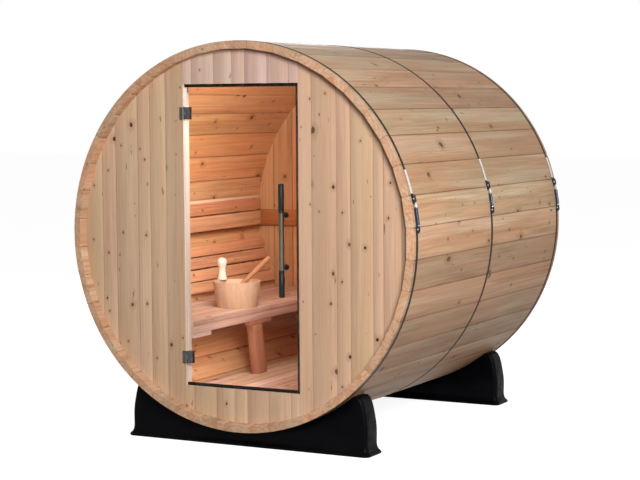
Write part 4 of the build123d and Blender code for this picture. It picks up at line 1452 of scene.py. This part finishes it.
@dataclass
class Hoops:
    """The steel bands and the tensioners that close them."""

    barrel: Barrel
    insets: tuple[float, ...] = (0.035, 0.900, 1.794)
    band: float = 0.0016
    spans: tuple[tuple[Span, Span], ...] = (
        ((2.6, 5.4), (11.0, 14.0)), ((5.0, 7.8), (12.4, 15.4)), ((2.6, 5.4), (11.0, 14.0)),
    )
    width: float = 0.020
    tall: float = 0.015
    taper: Span = (0.62, 0.8)
    shoulder: float = 0.0052
    cheek_rim: float = 0.002
    cheek_depth: float = 0.0015
    rod_height: float = 0.0085
    rod_radius: float = 0.0043
    rod_root: float = 0.84
    rod_end: float = 0.8
    thread: float = 0.0022
    nut_place: float = 0.040
    washer_place: float = 0.0237
    collar_place: float = 0.0145
    nut: tuple[Span, ...] = ((0.0066, 0.0), (0.0080, 0.0015), (0.0080, 0.0145), (0.0066, 0.016))
    washer: tuple[Span, ...] = ((0.0078, 0.0), (0.0082, 0.0004), (0.0082, 0.0016), (0.0078, 0.002))
    pin: tuple[Span, ...] = ((0.003, 0.0), (0.0038, 0.001), (0.0038, 0.0226), (0.003, 0.0236))
    strap_turn: float = 6.8
    strap_gap: float = 0.1
    strap_blank: float = 0.0006
    strap_half: float = 0.0095
    strap_thick: float = 0.0008
    frame_half: float = 0.0068
    frame_foot: float = 0.0175
    frame_short: float = 0.060
    frame_edge: float = 0.0022
    frame_rim: float = 0.0016
    frame_core: float = 0.0060

    def build(self) -> None:
        """Bands stay as they are; each gets a tensioner on both sides."""
        finish_node("steel_bands", BAND_STEEL)
        parts = []
        for inset, span in zip(self.insets, self.spans):
            right = self.tensioner(*span)
            move = Matrix.Translation((0.0, self.barrel.low.y + inset, 0.0))
            for side, turn in ((1.0, 0.0), (-1.0, math.pi)):
                one = copy_of(right, f"tensioner {inset} {side}")
                parts.append(place(one, move @ Matrix.Rotation(turn, 4, "Z")))
            bpy.data.objects.remove(right)
        finish_piece(joined("tensioners", parts), "tensioner_steel", "band_tensioners", *STEELS,
                     choose=lambda face: face.material_index)

    @property
    def reach(self) -> float:
        """Distance from the barrel's axis to the outside of a band."""
        return self.barrel.outer + self.band

    def station(self, span: Span) -> Vector:
        """The pin of a bracket on the right, over the middle of its span in degrees above the horizontal."""
        turn = math.radians(sum(span) / 2)
        reach = self.reach + self.rod_height
        return Vector((reach * math.cos(turn), 0.0, self.barrel.axis_z + reach * math.sin(turn)))

    def bracket(self, span: Span, name: str) -> Object:
        """A folded bracket riveted to the band, with a pin across it."""
        base = self.barrel.axis_z + self.reach
        half = self.reach * math.radians(span[1] - span[0]) / 2
        body = block(name, (-half, -self.width / 2, base), (half, self.width / 2, base + self.tall))
        with shaping(body):
            pick(body, Element.FACE, lambda f: f.normal.z > 0.5)
            bpy.ops.transform.resize(value=(*self.taper, 1.0), center_override=(0.0, 0.0, base))
        soften(body, self.shoulder, lambda e: max(v.co.z for v in e.verts) > base + 0.001, 3)
        recess(body, lambda f: abs(f.normal.y) > 0.9, self.cheek_rim, self.cheek_depth)
        pin_end = (0.0, self.pin[-1][1] / 2, base + self.rod_height)
        pin = place(turned("pin", self.pin, 16), pointing(pin_end, (0.0, -1.0, 0.0)))
        whole = joined(name, [in_steel(body, BRACKET_STEEL), in_steel(pin, TENSIONER_STEEL)])
        return place(whole, self.barrel.around(math.radians(sum(span) / 2 - 90.0)))

    def threaded_rod(self, length: float) -> Object:
        """A rod with a ridge for each turn of its thread."""
        turns = int(length / self.thread)
        steps = [(self.rod_radius * (1.0 if k % 2 else self.rod_root), (k + 0.5) * length / turns)
                 for k in range(turns)]
        end = self.rod_radius * self.rod_end
        return turned("rod", [(end, 0.0), *steps, (end, length)], 12)

    def tensioner(self, lower: Span, upper: Span) -> Object:
        """One tensioner in the middle of the barrel's right side.

        Args:
            lower: where the lower bracket starts and ends, in degrees above the horizontal.
            upper: where the upper bracket starts and ends.

        Returns:
            The tensioner, with the end of the strap above it.
        """
        foot, head = self.station(lower), self.station(upper)
        run = head - foot
        way = run.normalized()
        fittings = [
            place(piece, pointing(at, run)) for piece, at in (
                (self.threaded_rod(run.length), foot),
                (turned("nut", self.nut, 6), head - way * self.nut_place),
                (turned("washer", self.washer), head - way * self.washer_place),
                (turned("collar", self.washer), foot + way * self.collar_place),
            )
        ]
        return joined("tensioner", [
            *(in_steel(one, TENSIONER_STEEL) for one in fittings), self.turnbuckle(foot, run),
            self.strap(upper[1]), self.bracket(upper, "upper bracket"), self.bracket(lower, "lower bracket"),
        ])

    def strap(self, start: float) -> Object:
        """The end of the strap, bent round the barrel above the upper bracket, whose near-white colour is a
        painted highlight.
        """
        centre = UP * self.barrel.axis_z
        low = centre.z + self.reach
        obj = block("strap", (-self.strap_blank, -self.strap_half, low),
                    (self.strap_blank, self.strap_half, low + self.strap_thick))
        with shaping(obj):
            pick(obj, Element.FACE, lambda f: f.normal.x < -0.9)
            bpy.ops.mesh.spin(steps=10, angle=math.radians(self.strap_turn), center=centre,
                              axis=(0.0, 1.0, 0.0))
            outwards()
        turn = math.radians(start + self.strap_gap - 90.0)
        return place(in_steel(obj, STRAP_PAINTED_HIGHLIGHT), self.barrel.around(turn))

    def turnbuckle(self, foot: Vector, run: Vector) -> Object:
        """The long frame that draws the rod tight: dark, slotted through its middle, with bright rims; the
        slots are painted black as painted shade.
        """
        half, low = self.frame_half, self.frame_foot
        frame = block("turnbuckle", (-half, -half, low), (half, half, low + run.length - self.frame_short))
        soften(frame, self.frame_edge, lambda e: reach_of(e).z > 0.01)
        recess(frame, lambda f: abs(f.normal.z) < 0.1 and f.calc_area() > 0.0001,
               self.frame_rim, self.frame_rim)

        def choose(face: Polygon) -> int:
            """Black in the slots as painted shade, dark steel elsewhere."""
            near = max(abs(face.center.x), abs(face.center.y)) < self.frame_core
            # painted shade: the shallow slot faces take the near-black bracket steel
            painted_shade_slot = near and abs(face.normal.z) < 0.5
            return STEELS.index(BRACKET_STEEL if painted_shade_slot else FRAME_STEEL)

        return place(assign(frame, STEELS, choose), pointing(foot, run))


@dataclass
class Cradles:
    """The two moulded cradles, with rounded edges."""

    edge: float = 0.004

    def build(self) -> None:
        """Front and rear cradle."""
        for end in ("front", "rear"):
            piece = eased_copy(f"cradle_{end}", f"{end}_cradle", self.edge, 40.0)
            finish_piece(piece, "black_plastic", f"cradle_{end}", BLACK_PLASTIC)


@dataclass
class GlassDoor:
    """The glass leaf with its hinges and its handle."""

    glass_edge: float = 0.0008
    tube_edge: float = 0.0004
    washer_edge: float = 0.001
    plate_edge: float = 0.0010
    plate_half: float = 0.029
    plate_stand: float = 0.006
    screw_steps: tuple[Span, ...] = ((0.0046, 0.0), (0.0046, 0.0006), (0.0040, 0.0012))
    screw_rim: float = 0.0014
    screw_socket: float = 0.0009
    screw_inset: float = 0.021
    screw_apart: float = 0.017
    sleeve_tip: tuple[Span, ...] = ((0.55, 0.0), (0.86, 0.0014), (1.0, 0.004))
    sleeve_mouth: tuple[Span, ...] = (
        (1.0, 0.012), (0.94, 0.011), (0.94, 0.009), (1.0, 0.008), (1.0, 0.001), (0.96, 0.0),
    )

    def build(self) -> None:
        """Glass, hinges and handle."""
        # the edge faces, except on the hinge side, take the dark edge finish: partly the glass's tint, partly
        # painted shade
        finish_piece(eased_copy("door_glass", "glass_leaf", self.glass_edge, 60.0), "door_glass",
                     "door_glass", DOOR_GLASS, GLASS_EDGE_TINT_AND_SHADE, body=Body.DOOR,
                     choose=lambda face: 1 if abs(face.normal.y) < 0.35 and face.normal.x > -0.5 else 0)
        for name, body in (("wall_leaves", Body.CABIN), ("door_clamps", Body.DOOR)):
            piece = eased_copy(f"hinge_{name}", name, self.plate_edge, 50.0, 1)
            finish_piece(piece, "hinge_metal", f"hinge_{name}", HINGE_METAL, body=body)
        self.screws()
        self.handle()

    def screws(self) -> None:
        """Two socket screws on each outer hinge plate."""
        low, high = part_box("hinge_door_clamps")
        glass_low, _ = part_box("door_glass")
        parts = []
        for middle in (low.z + self.plate_half, high.z - self.plate_half):
            for way in (-self.screw_apart, self.screw_apart):
                screw = turned("screw", self.screw_steps, 20)
                hollow(screw, self.screw_rim, self.screw_socket)
                at = (glass_low.x + self.screw_inset, glass_low.y - self.plate_stand, middle + way)
                parts.append(place(screw, pointing(at, (0.0, -1.0, 0.0))))
        finish_piece(joined("hinge_screws", parts), "hinge_metal", None, HINGE_METAL, body=Body.DOOR)

    def handle(self) -> None:
        """The tube, its black sleeves, grooved where they meet it, and the washers inside."""
        low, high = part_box("door_handle_ends")
        tube_low, tube_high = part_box("door_handle_bar")
        centre = (low + high) / 2
        radius = (high.x - low.x) / 2
        finish_piece(eased_copy("door_handle_bar", "handle_tube", self.tube_edge, 60.0, 1), "handle_steel",
                     "door_handle_bar", HANDLE_STEEL, BRACKET_STEEL, body=Body.DOOR,
                     choose=lambda face: 1 if (face.center - centre).xy.length > radius else 0)
        parts = []
        for end, length, turn in ((low.z, tube_low.z - low.z, 0.0), (high.z, high.z - tube_high.z, math.pi)):
            steps = (*self.sleeve_tip, *((wide, length - back) for wide, back in self.sleeve_mouth))
            sleeve = turned("sleeve", [(radius * wide, at) for wide, at in steps], 28)
            at = Matrix.Translation((centre.x, centre.y, end))
            parts.append(place(sleeve, at @ Matrix.Rotation(turn, 4, "X")))
        finish_piece(joined("handle_sleeves", parts), "black_plastic", "door_handle_ends", SLEEVE_PLASTIC,
                     body=Body.DOOR, smooth=40.0)
        finish_piece(eased_copy("door_handle_washers", "handle_washers", self.washer_edge, 60.0),
                     "handle_steel", "door_handle_washers", BRACKET_STEEL, body=Body.DOOR, smooth=40.0)


# ---- studio


@dataclass(frozen=True)
class Lamp:
    """A soft rectangular lamp: its place, what it looks at, its size and its power in watts."""

    name: str
    place: Triple
    target: Triple
    size: Span
    power: float
    colour: Colour = (1.0, 1.0, 1.0)
    spread: float = 180.0

    def build(self) -> None:
        """Add the lamp."""
        data = bpy.data.lights.new(self.name, "AREA")
        data.shape = "RECTANGLE"
        data.size, data.size_y = self.size
        data.energy = self.power
        data.color = self.colour
        data.spread = math.radians(self.spread)
        obj = bpy.data.objects.new(self.name, data)
        bpy.context.scene.collection.objects.link(obj)
        obj.location = self.place
        obj.rotation_euler = (Vector(self.target) - Vector(self.place)).to_track_quat("-Z", "Y").to_euler()
        obj.visible_camera = False


@dataclass
class Studio:
    """Floor, world, lamps and camera."""

    lamps: tuple[Lamp, ...] = (
        Lamp("key", (4.3, -5.6, 3.0), (0.0, 0.0, 0.95), (2.0, 2.0), 492.0),
        Lamp("side lamp", (7.0, -0.2, 3.0), (0.6, 0.0, 1.0), (3.0, 3.0), 45.0),
        Lamp("back lamp", (-4.5, 6.5, 2.2), (0.0, 0.0, 0.95), (3.0, 3.0), 360.0),
        Lamp("cabin lamp", (0.15, -0.70, 1.60), (-0.35, 0.35, 1.00), (0.55, 0.16), 11.4,
             (1.0, 0.93, 0.84), 150.0),
        Lamp("low cabin lamp", (-0.10, -0.76, 0.36), (-0.56, -0.30, 0.32), (0.30, 0.16), 0.55,
             (1.0, 0.86, 0.84), 80.0),
        Lamp("ceiling lamp", (0.0, -0.35, 1.20), (-0.10, -0.10, 1.90), (0.50, 0.50), 2.6,
             (1.0, 0.96, 0.92), 140.0),
        Lamp("jamb lamp", (0.12, -0.80, 1.50), (-0.30, -0.88, 1.66), (0.10, 0.10), 0.22,
             (0.90, 0.97, 1.0), 70.0),
    )
    ambient: float = 0.20
    floor_size: float = 80.0
    floor_drop: float = 0.0005
    floor_glow: float = 0.89
    floor_seen: Colour = (0.46, 0.46, 0.46)
    floor_bounce: Colour = (0.11, 0.070, 0.045)
    camera_place: Triple = (4.192, -7.953, 1.614)
    camera_turn: Triple = (0.489, 0.0774, -0.0071)
    lens: float = 99.27

    def build(self) -> None:
        """Everything around the object."""
        for lamp in self.lamps:
            lamp.build()
        self.floor()
        self.world()
        self.camera()
        bpy.context.scene.view_settings.view_transform = "Standard"

    def floor(self) -> None:
        """A pale floor that keeps the object's shadow."""
        deselect()
        bpy.ops.mesh.primitive_plane_add(size=self.floor_size, location=(0.0, 0.0, -self.floor_drop))
        floor = active_as("studio_floor")
        apply_place()
        material = bpy.data.materials.new("Studio floor")
        g = blank_tree(material)
        bounce, shaded = (
            g.node("ShaderNodeBsdfDiffuse", {"Color": colour}).outputs[0]
            for colour in (self.floor_bounce, self.floor_seen)
        )
        glow = g.node("ShaderNodeEmission",
                      {"Color": (1.0, 1.0, 1.0), "Strength": self.floor_glow}).outputs[0]
        shown = g.node("ShaderNodeAddShader", {0: glow, 1: shaded}).outputs[0]
        mixed = g.node("ShaderNodeMixShader", {0: g.seen_directly(), 1: bounce, 2: shown}).outputs[0]
        g.node("ShaderNodeOutputMaterial", {"Surface": mixed})
        floor.data.materials.append(material)

    def world(self) -> None:
        """White to the eye and in reflections, and a plain grey light on the object."""
        world = bpy.data.worlds.new("Studio")
        bpy.context.scene.world = world
        g = blank_tree(world)
        light, white = (
            g.node("ShaderNodeBackground", {"Color": (1.0, 1.0, 1.0), "Strength": strength}).outputs[0]
            for strength in (self.ambient, 1.0)
        )
        mixed = g.node("ShaderNodeMixShader", {0: g.seen_directly(), 1: light, 2: white}).outputs[0]
        g.node("ShaderNodeOutputWorld", {"Surface": mixed})

    def camera(self) -> None:
        """The camera, from the front and a little to the right."""
        yaw, pitch, roll = self.camera_turn
        turn = Matrix.Rotation(yaw, 4, "Z") @ Matrix.Rotation(math.pi / 2 - pitch, 4, "X")
        data = bpy.data.cameras.new("camera")
        data.lens = self.lens
        obj = bpy.data.objects.new("camera", data)
        bpy.context.scene.collection.objects.link(obj)
        obj.matrix_world = Matrix.Translation(self.camera_place) @ turn @ Matrix.Rotation(roll, 4, "Z")
        bpy.context.scene.camera = obj


def main() -> None:
    """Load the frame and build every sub-assembly round it."""
    logging.basicConfig(level=logging.INFO, format="%(name)s: %(message)s")
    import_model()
    barrel = Barrel()
    for part in (
        barrel, FrontWall(barrel), BackWall(barrel), Doorway(), Floor(barrel), Bench(barrel),
        Backrests(barrel), BucketSet(), Hoops(barrel), Cradles(), GlassDoor(), Studio(),
    ):
        part.build()
    deselect()


if __name__ == "__main__":
    main()
